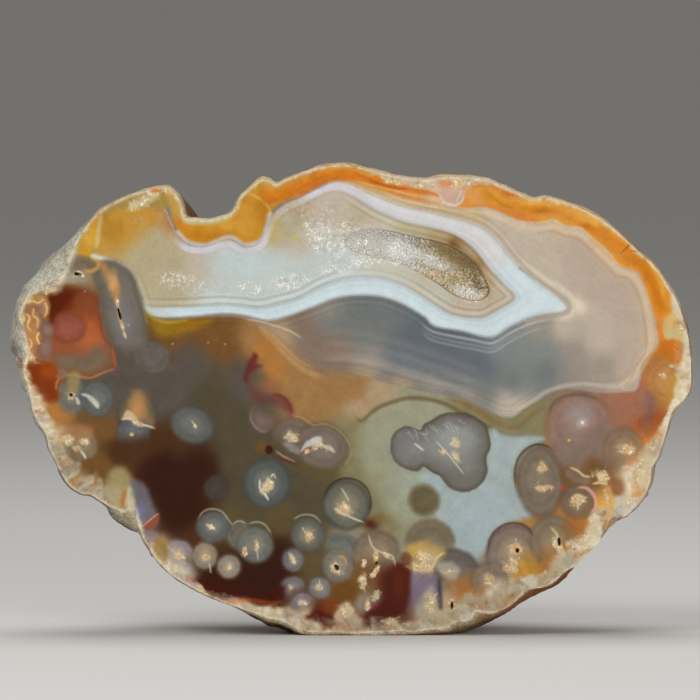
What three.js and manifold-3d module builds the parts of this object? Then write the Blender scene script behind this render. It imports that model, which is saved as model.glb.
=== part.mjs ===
// A natural agate nodule, cut once and polished on the cut, standing on its rind with the polished face upright.
// Millimetres. +X runs across the face, +Y into the stone, +Z up. The origin is under the middle of the stone, on
// the surface that it stands on. The stone is one solid, and the quartz crystals that line its open hollow are another.

import * as THREE from "three";
import { mergeVertices } from "three/addons/utils/BufferGeometryUtils.js";
import Module from "manifold-3d";

const wasm = await Module();
wasm.setup();

// Driving dimensions of the stone.
const STONE_WIDTH = 100;
const STONE_DEPTH = 37;
const WIDEST_BEHIND = 7;
const CRYSTAL_GAP = 0.32;

// Places on the face are [across, down] in squares of a grid laid over it. The stone spans this much of the grid.
const GRID = { left: 7, right: 694, bottom: 636 };
const SQUARE = STONE_WIDTH / (GRID.right - GRID.left);

// The edge of the polished face, clockwise from its left end, with the broken bay in the top edge,
// the chipped corner at the lower left and the chips along the lower right.
const FACE_EDGE = [
  [22, 326], [19, 318], [22, 308], [25, 299], [33, 292], [47, 286], [60, 281], [65, 271], [70, 257], [76, 242],
  [88, 224], [99, 212], [111, 204], [131, 195], [151, 189], [163, 187], [170, 189], [179, 199], [182, 208],
  [185, 218], [196, 219], [208, 220], [223, 216], [231, 213], [237, 205], [239, 198], [246, 191], [252, 186],
  [261, 179], [269, 180], [276, 184], [287, 179], [307, 171], [321, 167], [336, 165], [350, 165], [375, 171],
  [395, 176], [425, 180], [443, 177], [483, 179], [498, 184], [516, 192], [534, 199], [549, 198], [580, 208],
  [597, 216], [612, 227], [627, 240], [640, 253], [655, 266], [667, 284], [677, 301], [685, 322], [689, 340],
  [691, 362], [691, 384], [686, 397], [673, 411], [667, 430], [663, 444], [658, 458], [652, 468], [651, 480],
  [646, 494], [637, 506], [625, 517], [611, 519], [608, 527], [602, 534], [600, 542], [590, 552], [578, 565],
  [566, 572], [556, 581], [546, 587], [529, 590], [520, 597], [512, 605], [500, 612], [489, 614], [476, 612],
  [473, 618], [467, 622], [454, 623], [447, 629], [429, 630], [416, 632], [400, 632], [378, 633], [357, 634],
  [340, 633], [322, 633], [304, 632], [294, 628], [284, 622], [268, 619], [258, 615], [245, 611], [232, 606],
  [218, 601], [202, 594], [189, 587], [176, 579], [164, 569], [155, 559], [149, 548], [143, 539], [140, 530],
  [137, 520], [136, 511], [129, 510], [124, 513], [112, 508], [101, 502], [90, 495], [82, 494], [71, 488],
  [63, 478], [57, 465], [49, 449], [45, 434], [39, 424], [33, 412], [31, 400], [28, 386], [23, 375], [24, 366],
  [26, 357], [26, 347], [24, 336],
];

// The widest section of the whole stone, a little behind the face, where it is what the eye sees as the outline.
const WIDEST_EDGE = [
  [7, 340], [9, 324], [14, 304], [22, 287], [34, 273], [47, 258], [65, 243], [76, 231], [87, 220], [98, 209],
  [111, 202], [130, 193], [150, 187], [164, 184], [172, 187], [181, 197], [184, 206], [187, 216], [196, 217],
  [208, 218], [222, 214], [229, 211], [234, 204], [236, 197], [243, 190], [250, 184], [260, 176], [269, 177],
  [276, 181], [286, 177], [306, 169], [320, 164], [335, 162], [350, 162], [376, 168], [395, 173], [425, 177],
  [443, 173], [484, 176], [499, 181], [517, 189], [535, 196], [549, 195], [581, 205], [599, 214], [614, 225],
  [629, 238], [642, 251], [657, 264], [670, 283], [680, 300], [688, 321], [692, 339], [694, 362], [694, 385],
  [689, 400], [677, 413], [671, 431], [667, 444], [663, 458], [658, 467], [655, 480], [650, 495], [641, 508],
  [628, 519], [612, 529], [604, 539], [591, 552], [579, 566], [570, 577], [559, 588], [545, 595], [528, 602],
  [511, 611], [494, 618], [474, 625], [449, 632], [414, 635], [378, 636], [340, 636], [305, 635], [293, 630],
  [280, 624], [268, 622], [257, 618], [245, 614], [231, 608], [219, 604], [202, 597], [188, 590], [174, 581],
  [162, 571], [152, 560], [143, 547], [137, 536], [128, 533], [117, 527], [109, 519], [103, 508], [90, 499],
  [81, 497], [69, 491], [60, 480], [54, 466], [46, 450], [41, 435], [33, 425], [27, 408], [20, 390], [15, 372],
  [10, 357],
];

// The open hollow in the banded part: its rim on the face, and the line along which it is deepest.
const HOLLOW_EDGE = [
  [345, 238], [362, 229], [388, 230], [410, 235], [434, 240], [447, 244], [458, 249], [467, 255], [475, 263],
  [482, 272], [487, 282], [490, 290], [488, 296], [482, 300], [474, 301], [466, 300], [457, 297], [448, 292],
  [440, 286], [431, 280], [420, 274], [408, 268], [393, 262], [376, 258], [360, 254], [348, 248],
];
const HOLLOW_KEEL = [[362, 241], [390, 246], [420, 255], [450, 271], [474, 289]];
const HOLLOW_SHALLOW = { across: 350, depth: 1.7 };
const HOLLOW_DEEP = { across: 458, depth: 6.5 };

// The middle of the face, from which its edge is seen all round, and the point where the back closes.
const FACE_HUB = [235, 400];
const BACK_POLE = [347, 404];

// The section between the face and the widest one, how full the dome of the back is, where its last ring lies,
// and by which share of the way back the sharp outline is worn smooth and the relief has its full height.
const RIM = { behind: 1.6, share: 0.72 };
const DOME_FULLNESS = 0.85;
const LAST_RING = 0.95;
const WORN_SHARE = 0.17;
const WORN_BY = 0.6;
const RELIEF_BY = 0.12;

// How finely the solids are faceted.
const COLUMNS = 172;
const RIND_RINGS = 16;
const HOLLOW_COLUMNS = 44;
const HOLLOW_STEPS = [0, 0.12, 0.3, 0.55, 0.82];
const FINEST_EDGE = 0.06;

// Turns a place on the grid into [x, z] in millimetres.
const GRID_MIDDLE = (GRID.left + GRID.right) / 2;
const onFace = ([across, down]) =>
  new THREE.Vector2((across - GRID_MIDDLE) * SQUARE, (GRID.bottom - down) * SQUARE);

// A closed curve through the places, cut into equal steps.
function closedOutline(places, count) {
  const corners = places.map((place) => {
    const flat = onFace(place);
    return new THREE.Vector3(flat.x, flat.y, 0);
  });
  const curve = new THREE.CatmullRomCurve3(corners, true, "centripetal");
  curve.arcLengthDivisions = places.length * 12;
  return curve.getSpacedPoints(count).slice(0, count).map((p) => new THREE.Vector2(p.x, p.y));
}

const smoothstep = (low, high, value) => THREE.MathUtils.smoothstep(value, low, high);

// Repeatable random numbers between 0 and 1.
function randomNumbers(seed) {
  let state = seed;
  return () => {
    state = (state * 1664525 + 1013904223) % 4294967296;
    return state / 4294967296;
  };
}

// The point where a ray from the hub to the target meets the outline.
function meetOutline(hub, target, outline) {
  const ray = target.clone().sub(hub);
  let furthest = 0;
  outline.forEach((start, i) => {
    const side = outline[(i + 1) % outline.length].clone().sub(start);
    const cross = ray.x * side.y - ray.y * side.x;
    if (Math.abs(cross) < 1e-12) return;
    const offset = start.clone().sub(hub);
    const along = (offset.x * side.y - offset.y * side.x) / cross;
    const share = (offset.x * ray.y - offset.y * ray.x) / cross;
    if (share >= 0 && share <= 1) furthest = Math.max(furthest, along);
  });
  return hub.clone().addScaledVector(ray, furthest);
}

// The outline with its small bays and bumps worn away.
function wornOutline(outline, reach) {
  const whole = Math.round(reach);
  return outline.map((_, i) => {
    const sum = new THREE.Vector2();
    for (let k = -whole; k <= whole; k++) sum.add(outline[(i + k + outline.length) % outline.length]);
    return sum.divideScalar(2 * whole + 1);
  });
}

// Seeds spread over the back of the stone, turned by the golden angle so that they never line up.
const GOLDEN_ANGLE = Math.PI * (3 - Math.sqrt(5));
const spreadOverBack = (middle, count, firstTurn) =>
  Array.from({ length: count }, (_, k) => {
    const around = firstTurn + k * GOLDEN_ANGLE;
    const outward = Math.sqrt((k + 0.5) / count);
    return new THREE.Vector3(
      middle.x + Math.cos(around) * outward * STONE_WIDTH * 0.5,
      WIDEST_BEHIND + (STONE_DEPTH - WIDEST_BEHIND) * Math.sqrt(1 - outward * outward),
      middle.y + Math.sin(around) * outward * STONE_WIDTH * 0.35,
    );
  });

// How far the rind lies inside its smooth dome: creases between low lumps, broad waves, and scattered pits.
const LUMPS = { count: 74, radius: 6.4, height: 1.5, firstTurn: 0.4 };
const PITS = { count: 34, radius: 2.7, depth: 1.2, firstTurn: 1.7 };
const WAVE_HEIGHT = 1.4;
const CALM_BACK = { reach: 17, relief: 1.3 };
function rindRelief(p, lumps, pits, pole) {
  const nearest = lumps.reduce((least, seed) => Math.min(least, p.distanceTo(seed)), Infinity);
  const crease = Math.min(1, nearest / LUMPS.radius) ** 2 * LUMPS.height;
  const wave = Math.sin(0.17 * p.x + 0.3 * p.y + 1.3) * Math.cos(0.22 * p.z - 0.2 * p.y + 0.6);
  const pit = pits.reduce((sum, seed) => sum + Math.exp(-p.distanceToSquared(seed) / PITS.radius ** 2), 0);
  const relief = crease + (0.5 + 0.5 * wave) * WAVE_HEIGHT + Math.min(pit, 1) * PITS.depth;
  const calm = 1 - smoothstep(0, CALM_BACK.reach, Math.hypot(p.x - pole.x, p.z - pole.y));
  return THREE.MathUtils.lerp(relief, CALM_BACK.relief, calm);
}

// The flat foot: the underside is worn down to the standing surface, further and further towards the back.
const FOOT = { middle: 4, halfWidth: 15, back: 22, fade: 9, frontDrop: 0.35, backDrop: 4.6, reach: 9 };
function footDrop(p) {
  const across = 1 - smoothstep(FOOT.halfWidth, FOOT.halfWidth + FOOT.fade, Math.abs(p.x - FOOT.middle));
  const backward = smoothstep(0, FOOT.back, p.y) * (1 - smoothstep(FOOT.back, FOOT.back + FOOT.fade, p.y));
  const drop = THREE.MathUtils.lerp(FOOT.frontDrop, FOOT.backDrop, backward);
  return drop * across * (1 - smoothstep(0, FOOT.reach, p.z));
}

// Joins rings, front to back, into a closed geometry with a flat cap at each end.
// The rings run clockwise as seen from the front, and need not have the same number of points.
function loft(rings) {
  const firsts = [0];
  for (const ring of rings) firsts.push(firsts.at(-1) + ring.length);
  const positions = rings.flat().flatMap((p) => [p.x, p.y, p.z]);
  const faces = [];
  for (let r = 0; r + 1 < rings.length; r++) {
    const [near, far] = [rings[r].length, rings[r + 1].length];
    const nearAt = (i) => firsts[r] + (i % near);
    const farAt = (j) => firsts[r + 1] + (j % far);
    let [i, j] = [0, 0];
    while (i < near || j < far) {
      if ((i + 1) / near <= (j + 1) / far) {
        faces.push(nearAt(i), nearAt(i + 1), farAt(j));
        i += 1;
      } else {
        faces.push(nearAt(i), farAt(j + 1), farAt(j));
        j += 1;
      }
    }
  }
  const capEnd = (ring, first, facing) => {
    const flat = ring.map((p) => new THREE.Vector2(p.x, p.z));
    for (const [a, b, c] of THREE.ShapeUtils.triangulateShape(flat, [])) {
      const turn = flat[b].clone().sub(flat[a]).cross(flat[c].clone().sub(flat[a]));
      faces.push(...(turn * facing > 0 ? [a, b, c] : [a, c, b]).map((k) => k + first));
    }
  };
  capEnd(rings[0], 0, 1);
  capEnd(rings.at(-1), firsts.at(-2), -1);
  const geometry = new THREE.BufferGeometry();
  geometry.setAttribute("position", new THREE.Float32BufferAttribute(positions, 3));
  geometry.setIndex(faces);
  return geometry;
}

function toSolid(geometry) {
  const bare = geometry.clone();
  bare.deleteAttribute("normal");
  bare.deleteAttribute("uv");
  const merged = mergeVertices(bare, 1e-4);
  return new wasm.Manifold(
    new wasm.Mesh({
      numProp: 3,
      vertProperties: merged.attributes.position.array,
      triVerts: new Uint32Array(merged.index.array),
    }),
  );
}

// The largest body of a solid, with any space sealed between its crystals filled in.
const wholeBody = (solid) => solid.decompose().reduce((a, b) => (a.volume() >= b.volume() ? a : b));

function toGeometry(solid) {
  const mesh = solid.getMesh();
  const geometry = new THREE.BufferGeometry();
  geometry.setAttribute("position", new THREE.BufferAttribute(new Float32Array(mesh.vertProperties), 3));
  geometry.setIndex(new THREE.BufferAttribute(new Uint32Array(mesh.triVerts), 1));
  return geometry;
}

// An outline read at equal shares of its length, with fewer points than it was drawn with.
const thinned = (outline, count) =>
  Array.from({ length: count }, (_, i) => {
    const at = (i / count) * outline.length;
    const before = Math.floor(at);
    return outline[before].clone().lerp(outline[(before + 1) % outline.length], at - before);
  });

// The stone without its hollow: the flat face, the rim, the widest section, then sections that close at the back.
function stoneGeometry() {
  const widest = closedOutline(WIDEST_EDGE, COLUMNS * 2);
  const worn = wornOutline(widest, COLUMNS * WORN_SHARE);
  const hub = onFace(FACE_HUB);
  const pole = onFace(BACK_POLE);
  const lumps = spreadOverBack(pole, LUMPS.count, LUMPS.firstTurn);
  const pits = spreadOverBack(pole, PITS.count, PITS.firstTurn);

  const faceOutline = closedOutline(FACE_EDGE, COLUMNS * 3);
  const sharp = thinned(widest, COLUMNS);
  const faceRing = sharp.map((p) => {
    const edge = meetOutline(hub, p, faceOutline);
    return new THREE.Vector3(edge.x, 0, edge.y);
  });
  const rimRing = sharp.map((p, i) => {
    const edge = new THREE.Vector2(faceRing[i].x, faceRing[i].z).lerp(p, RIM.share);
    return new THREE.Vector3(edge.x, RIM.behind, edge.y);
  });
  const rings = [faceRing, rimRing];
  for (let j = 0; j <= RIND_RINGS; j++) {
    const back = j / RIND_RINGS;
    const turn = (Math.PI / 2) * back * LAST_RING;
    const scale = Math.cos(turn) ** DOME_FULLNESS;
    const behind = WIDEST_BEHIND + (STONE_DEPTH - WIDEST_BEHIND) * Math.sin(turn) ** DOME_FULLNESS;
    const count = Math.round(COLUMNS * Math.min(1, Math.cos(turn) * 1.15));
    const wear = smoothstep(0, WORN_BY, back);
    const [before, after] = [thinned(widest, count), thinned(worn, count)];
    rings.push(
      before.map((p, i) => {
        const flat = p.lerp(after[i], wear).sub(pole).multiplyScalar(scale);
        const point = new THREE.Vector3(pole.x + flat.x, behind, pole.y + flat.y);
        const outward = new THREE.Vector3(flat.x, STONE_DEPTH * back, flat.y).normalize();
        const relief = rindRelief(point, lumps, pits, pole) * smoothstep(0, RELIEF_BY, back);
        return point.addScaledVector(outward, -relief);
      }),
    );
  }
  for (const ring of rings.slice(1)) {
    for (const p of ring) p.z = Math.max(p.z - footDrop(p), 0);
  }
  return loft(rings);
}

const hollowDepth = (x) => {
  const [from, to] = [HOLLOW_SHALLOW, HOLLOW_DEEP].map(({ across }) => onFace([across, 0]).x);
  return THREE.MathUtils.lerp(HOLLOW_SHALLOW.depth, HOLLOW_DEEP.depth, smoothstep(from, to, x));
};

const hollowKeel = new THREE.CatmullRomCurve3(
  HOLLOW_KEEL.map((place) => {
    const flat = onFace(place);
    return new THREE.Vector3(flat.x, flat.y, 0);
  }),
).getSpacedPoints(60);

const nearestOnKeel = (p) => {
  const nearest = hollowKeel.reduce((a, b) =>
    Math.hypot(a.x - p.x, a.y - p.y) <= Math.hypot(b.x - p.x, b.y - p.y) ? a : b,
  );
  return new THREE.Vector2(nearest.x, nearest.y);
};

// A point of the hollow's wall: 0 is the rim and 1 the keel, and depth goes down steeply, then levels out.
function wallPoint(edge, share, lift) {
  const flat = edge.clone().lerp(nearestOnKeel(edge), share);
  const depth = hollowDepth(flat.x) * Math.sqrt(1 - (1 - share) ** 2);
  return new THREE.Vector3(flat.x, Math.max(depth - lift, 0), flat.y);
}

function hollowCutter() {
  const edge = closedOutline(HOLLOW_EDGE, HOLLOW_COLUMNS);
  const above = edge.map((p) => new THREE.Vector3(p.x, -1, p.y));
  return toSolid(loft([above, ...HOLLOW_STEPS.map((share) => edge.map((p) => wallPoint(p, share, 0)))]));
}

// The rim of the crystal bed, pulled in from the hollow's rim so that the two solids never touch.
function bedEdge(pull) {
  return closedOutline(HOLLOW_EDGE, HOLLOW_COLUMNS).map((p) => {
    const inward = nearestOnKeel(p).sub(p);
    return p.clone().addScaledVector(inward.normalize(), pull);
  });
}

// A six-sided quartz crystal on +Y's foot, with a blunt prism and a pointed end.
function crystalSolid(radius, height) {
  const profile = [
    new THREE.Vector2(0, 0),
    new THREE.Vector2(radius, 0),
    new THREE.Vector2(radius * 0.92, height * 0.55),
    new THREE.Vector2(0, height),
  ];
  return toSolid(new THREE.LatheGeometry(profile, 6));
}

const CRYSTALS = { count: 80, seed: 11, radius: [0.42, 0.8], height: [1.0, 2.1], bedThickness: 0.55 };

// The bed that lines the hollow, with the crystals standing on it, as one crust.
function crustSolidInHollow() {
  const pull = CRYSTAL_GAP + 0.08;
  const edge = bedEdge(pull);
  const lip = 0.25;
  const below = (share, lift) =>
    edge.map((p) => {
      const point = wallPoint(p, share, CRYSTAL_GAP + lift * Math.min(1, hollowDepth(p.x) / 3));
      point.y = Math.max(point.y, lip);
      return point;
    });
  const steps = HOLLOW_STEPS.slice(1);
  const underside = steps.map((share) => below(share, 0));
  const rim = edge.map((p) => new THREE.Vector3(p.x, lip, p.y));
  const cutter = toSolid(loft([rim, ...underside]));
  const innerEdge = bedEdge(pull + CRYSTALS.bedThickness);
  const innerTop = innerEdge.map((p) => new THREE.Vector3(p.x, -1, p.y));
  const innerWalls = steps.map((share) =>
    innerEdge.map((p) => {
      const point = wallPoint(p, share, CRYSTAL_GAP + CRYSTALS.bedThickness);
      point.y = Math.max(point.y, lip + 0.02);
      return point;
    }),
  );
  let crust = cutter.subtract(toSolid(loft([innerTop, ...innerWalls])));

  const random = randomNumbers(CRYSTALS.seed);
  const between = ([low, high]) => low + (high - low) * random();
  const up = new THREE.Vector3(0, 1, 0);
  for (let k = 0; k < CRYSTALS.count; k++) {
    const spot = innerEdge[Math.floor(random() * innerEdge.length)];
    const share = 0.06 + 0.9 * random();
    const foot = wallPoint(spot, share, 0);
    const shallow = Math.min(1, foot.y / 2.6);
    const height = Math.min(between(CRYSTALS.height), foot.y - lip) * (0.5 + 0.5 * shallow);
    if (height < 0.5) continue;
    const toKeel = nearestOnKeel(spot).sub(new THREE.Vector2(foot.x, foot.z)).multiplyScalar(0.35);
    const lean = new THREE.Vector3(
      toKeel.x + (random() - 0.5) * 0.9,
      -foot.y * 0.6 - 0.6,
      toKeel.y + (random() - 0.5) * 0.9,
    ).normalize();
    const turned = new THREE.Matrix4().compose(
      foot.clone().addScaledVector(lean, CRYSTAL_GAP + 0.12),
      new THREE.Quaternion().setFromUnitVectors(up, lean),
      new THREE.Vector3(1, 1, 1),
    );
    crust = crust.add(crystalSolid(between(CRYSTALS.radius), height).transform(turned.toArray()));
  }
  // The crust keeps its gap to the wall, and nothing stands out of the face.
  return wholeBody(crust.intersect(cutter).simplify(FINEST_EDGE));
}

const agateSolid = toSolid(stoneGeometry()).subtract(hollowCutter());
const crustSolid = crustSolidInHollow();

// The origin goes under the middle of the stone.
const box = new THREE.Box3().setFromBufferAttribute(toGeometry(agateSolid).attributes.position);
const middle = box.getCenter(new THREE.Vector3());

const agate = new THREE.Mesh(
  toGeometry(agateSolid),
  new THREE.MeshStandardMaterial({ color: 0x9c8a6c, roughness: 0.25, metalness: 0 }),
);
agate.name = "agate";

const druse = new THREE.Mesh(
  toGeometry(crustSolid),
  new THREE.MeshStandardMaterial({ color: 0xd8d2c2, roughness: 0.12, metalness: 0 }),
);
druse.name = "quartz_crust";

const specimen = new THREE.Group();
specimen.name = "agate_specimen";
specimen.add(agate, druse);
specimen.position.set(-middle.x, -middle.y, -box.min.z);

export default specimen;
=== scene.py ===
"""Agate specimen: a cut and polished half nodule that stands on its rind."""
import math

import bpy
import numpy as np
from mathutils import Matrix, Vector, geometry


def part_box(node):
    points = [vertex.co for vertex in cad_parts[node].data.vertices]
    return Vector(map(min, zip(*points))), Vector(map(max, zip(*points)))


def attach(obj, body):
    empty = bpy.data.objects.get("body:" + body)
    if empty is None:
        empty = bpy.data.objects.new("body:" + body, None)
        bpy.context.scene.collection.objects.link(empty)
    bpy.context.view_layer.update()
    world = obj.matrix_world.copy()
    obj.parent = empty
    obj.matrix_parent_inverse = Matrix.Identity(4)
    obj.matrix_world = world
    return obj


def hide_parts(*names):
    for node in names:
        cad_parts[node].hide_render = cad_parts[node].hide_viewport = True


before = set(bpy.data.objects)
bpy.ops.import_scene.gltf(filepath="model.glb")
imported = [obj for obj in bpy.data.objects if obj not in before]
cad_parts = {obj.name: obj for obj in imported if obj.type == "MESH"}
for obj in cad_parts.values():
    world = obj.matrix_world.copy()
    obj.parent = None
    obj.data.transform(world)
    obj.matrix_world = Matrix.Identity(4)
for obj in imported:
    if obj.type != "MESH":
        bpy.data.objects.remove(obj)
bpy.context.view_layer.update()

# Places on the face are [across, down] in squares of a grid laid over it.
GRID_LEFT, GRID_RIGHT, GRID_BOTTOM = 7, 694, 636
LOW, HIGH = (np.array(corner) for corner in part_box("agate"))
GRID_MIDDLE = (GRID_LEFT + GRID_RIGHT) / 2
GRID_TOP = 160
FACE_WIDTH = 0.100
SQUARE = FACE_WIDTH / (GRID_RIGHT - GRID_LEFT)
MIDDLE_X = (LOW[0] + HIGH[0]) / 2
FACE_Y = LOW[1]
MM = 0.001


def to_world(places, depth=0.0):
    """Grid places to metres; depth is measured from the face into the stone."""
    places = np.asarray(places, float)
    out = np.empty((len(places), 3))
    out[:, 0] = MIDDLE_X + (places[:, 0] - GRID_MIDDLE) * SQUARE
    out[:, 1] = FACE_Y + depth
    out[:, 2] = LOW[2] + (GRID_BOTTOM - places[:, 1]) * SQUARE
    return out


def to_grid(world):
    """Metres to grid places on the face."""
    across = (world[:, 0] - MIDDLE_X) / SQUARE + GRID_MIDDLE
    return np.stack([across, GRID_BOTTOM - (world[:, 2] - LOW[2]) / SQUARE], 1)


FACE_EDGE = [
    (22, 326), (19, 318), (22, 308), (25, 299), (33, 292), (47, 286), (60, 281), (65, 271), (70, 257),
    (76, 242), (88, 224), (99, 212), (111, 204), (131, 195), (151, 189), (163, 187), (170, 189), (179, 199),
    (182, 208), (185, 218), (196, 219), (208, 220), (223, 216), (231, 213), (237, 205), (239, 198),
    (246, 191), (252, 186), (261, 179), (269, 180), (276, 184), (287, 179), (307, 171), (321, 167),
    (336, 165), (350, 165), (375, 171), (395, 176), (425, 180), (443, 177), (483, 179), (498, 184),
    (516, 192), (534, 199), (549, 198), (580, 208), (597, 216), (612, 227), (627, 240), (640, 253),
    (655, 266), (667, 284), (677, 301), (685, 322), (689, 340), (691, 362), (691, 384), (686, 397),
    (673, 411), (667, 430), (663, 444), (658, 458), (652, 468), (651, 480), (646, 494), (637, 506),
    (625, 517), (611, 519), (608, 527), (602, 534), (600, 542), (590, 552), (578, 565), (566, 572),
    (556, 581), (546, 587), (529, 590), (520, 597), (512, 605), (500, 612), (489, 614), (476, 612),
    (473, 618), (467, 622), (454, 623), (447, 629), (429, 630), (416, 632), (400, 632), (378, 633),
    (357, 634), (340, 633), (322, 633), (304, 632), (294, 628), (284, 622), (268, 619), (258, 615),
    (245, 611), (232, 606), (218, 601), (202, 594), (189, 587), (176, 579), (164, 569), (155, 559),
    (149, 548), (143, 539), (140, 530), (137, 520), (136, 511), (129, 510), (124, 513), (112, 508),
    (101, 502), (90, 495), (82, 494), (71, 488), (63, 478), (57, 465), (49, 449), (45, 434), (39, 424),
    (33, 412), (31, 400), (28, 386), (23, 375), (24, 366), (26, 357), (26, 347), (24, 336),
]
WIDEST_EDGE = [
    (7, 340), (9, 324), (14, 304), (22, 287), (34, 273), (47, 258), (65, 243), (76, 231), (87, 220),
    (98, 209), (111, 202), (130, 193), (150, 187), (164, 184), (172, 187), (181, 197), (184, 206),
    (187, 216), (196, 217), (208, 218), (222, 214), (229, 211), (234, 204), (236, 197), (243, 190),
    (250, 184), (260, 176), (269, 177), (276, 181), (286, 177), (306, 169), (320, 164), (335, 162),
    (350, 162), (376, 168), (395, 173), (425, 177), (443, 173), (484, 176), (499, 181), (517, 189),
    (535, 196), (549, 195), (581, 205), (599, 214), (614, 225), (629, 238), (642, 251), (657, 264),
    (670, 283), (680, 300), (688, 321), (692, 339), (694, 362), (694, 385), (689, 400), (677, 413),
    (671, 431), (667, 444), (663, 458), (658, 467), (655, 480), (650, 495), (641, 508), (628, 519),
    (612, 529), (604, 539), (591, 552), (579, 566), (570, 577), (559, 588), (545, 595), (528, 602),
    (511, 611), (494, 618), (474, 625), (449, 632), (414, 635), (378, 636), (340, 636), (305, 635),
    (293, 630), (280, 624), (268, 622), (257, 618), (245, 614), (231, 608), (219, 604), (202, 597),
    (188, 590), (174, 581), (162, 571), (152, 560), (143, 547), (137, 536), (128, 533), (117, 527),
    (109, 519), (103, 508), (90, 499), (81, 497), (69, 491), (60, 480), (54, 466), (46, 450), (41, 435),
    (33, 425), (27, 408), (20, 390), (15, 372), (10, 357),
]
HOLLOW_EDGE = [
    (345, 238), (362, 229), (388, 230), (410, 235), (434, 240), (447, 244), (458, 249), (467, 255),
    (475, 263), (482, 272), (487, 282), (490, 290), (488, 296), (482, 300), (474, 301), (466, 300),
    (457, 297), (448, 292), (440, 286), (431, 280), (420, 274), (408, 268), (393, 262), (376, 258),
    (360, 254), (348, 248),
]
HOLLOW_KEEL = [(362, 241), (390, 246), (420, 255), (450, 271), (474, 289)]


# Curves, distances and noise.
def smoothstep(low, high, value):
    t = np.clip((np.asarray(value, float) - low) / (high - low), 0, 1)
    return t * t * (3 - 2 * t)


def mix(a, b, t):
    a, b = np.asarray(a, float), np.asarray(b, float)
    return a + (b - a) * t


def spline(places, closed, pieces=10):
    """A smooth curve through the places."""
    p = np.asarray(places, float)
    if closed:
        ext = np.vstack([p[-1:], p, p[:2]])
    else:
        ext = np.vstack([2 * p[0] - p[1], p, 2 * p[-1] - p[-2]])
    t = np.linspace(0, 1, pieces, endpoint=False)[:, None]
    out = []
    for a, b, c, d in zip(ext[:-3], ext[1:-2], ext[2:-1], ext[3:]):
        out.append(0.5 * (2 * b + (c - a) * t + (2 * a - 5 * b + 4 * c - d) * t**2
            + (3 * b - a - 3 * c + d) * t**3))
    out = np.vstack(out)
    return out if closed else np.vstack([out, p[-1:]])


def resample(line, count, closed):
    pts = np.vstack([line, line[:1]]) if closed else line
    run = np.concatenate([[0], np.cumsum(np.linalg.norm(np.diff(pts, axis=0), axis=1))])
    at = np.linspace(0, run[-1], count, endpoint=not closed)
    return np.stack([np.interp(at, run, pts[:, k]) for k in range(pts.shape[1])], 1)


def line_distance(points, line, closed=False):
    """Distance from each point to a line of straight pieces, and how far along it the nearest place is."""
    a = np.asarray(line, float)
    b = np.roll(a, -1, 0) if closed else a[1:]
    a = a if closed else a[:-1]
    ab = b - a
    best = np.full(len(points), 1e9)
    where = np.zeros(len(points))
    for k in range(len(a)):
        rel = points - a[k]
        t = np.clip(rel @ ab[k] / max(ab[k] @ ab[k], 1e-9), 0, 1)
        d = np.hypot(rel[:, 0] - t * ab[k, 0], rel[:, 1] - t * ab[k, 1])
        near = d < best
        best = np.where(near, d, best)
        where = np.where(near, (k + t) / len(a), where)
    return best, where


def inside(points, ring):
    """Which of the points lie inside the closed ring."""
    x, y = points[:, 0], points[:, 1]
    result = np.zeros(len(points), bool)
    a = np.asarray(ring, float)
    for (x0, y0), (x1, y1) in zip(a, np.roll(a, -1, 0)):
        if y0 == y1:
            continue
        cross = ((y0 > y) != (y1 > y)) & (x < (x1 - x0) * (y - y0) / (y1 - y0) + x0)
        result ^= cross
    return result


def signed_distance(points, ring):
    """Distance to a closed ring, above zero inside it."""
    d, _ = line_distance(points, ring, True)
    return np.where(inside(points, ring), d, -d)


def hashed(*cells, seed=0):
    """A number from 0 to 1 for each whole-numbered cell, the same on every run."""
    h = np.full(cells[0].shape, (seed * 374761393 + 668265263) & 0xFFFFFFFF, np.uint64)
    for k, c in enumerate(cells):
        h = (h ^ (c.astype(np.int64).astype(np.uint64) * np.uint64((0x9E3779B1, 0x85EBCA77, 0xC2B2AE3D)[k])))
        h = (h * np.uint64(0x27D4EB2F)) & np.uint64(0xFFFFFFFF)
        h ^= h >> np.uint64(15)
    h = (h * np.uint64(0x165667B1)) & np.uint64(0xFFFFFFFF)
    h ^= h >> np.uint64(13)
    return (h & np.uint64(0xFFFFFF)).astype(float) / 0xFFFFFF


def noise(points, size, seed=0):
    """Smooth noise from -1 to 1 whose lumps are about the given size, in two or three dimensions."""
    p = np.asarray(points, float) / size
    base = np.floor(p)
    f = p - base
    f = f * f * (3 - 2 * f)
    dims = p.shape[1]
    total = np.zeros(len(p))
    for corner in range(2**dims):
        bits = [(corner >> k) & 1 for k in range(dims)]
        weight = np.ones(len(p))
        for k, bit in enumerate(bits):
            weight *= f[:, k] if bit else 1 - f[:, k]
        total += weight * hashed(*[base[:, k] + bits[k] for k in range(dims)], seed=seed)
    return total * 2 - 1


def rough(points, size, seed=0, octaves=4):
    total, gain = np.zeros(len(points)), 1.0
    for k in range(octaves):
        total += noise(points, size / 2**k, seed + k) * gain
        gain *= 0.5
    return total / 1.9


# The shape of the stone.
FACE_HUB = np.array([211.0, 400.0])
BACK_POLE = np.array([347.0, 404.0])
WIDEST_BEHIND, STONE_DEPTH = 7.0, 37.0
RIM_BEHIND, RIM_SHARE = 1.6, 0.72
DOME_FULLNESS, LAST_RING = 0.85, 0.95
WORN_BY, WORN_REACH, RELIEF_BY = 0.6, 0.084, 0.12
RIND_RINGS, COLUMNS, WIDEST_COLUMNS = 32, 840, 700
BEVEL_BEHIND, BEVEL_SHARE = 0.45, 0.3
FLANK_BEHIND, FLANK_SHARE = 4.0, 0.92
LEAST_BEHIND = 0.12
GOLDEN_ANGLE = math.pi * (3 - math.sqrt(5))


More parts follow.
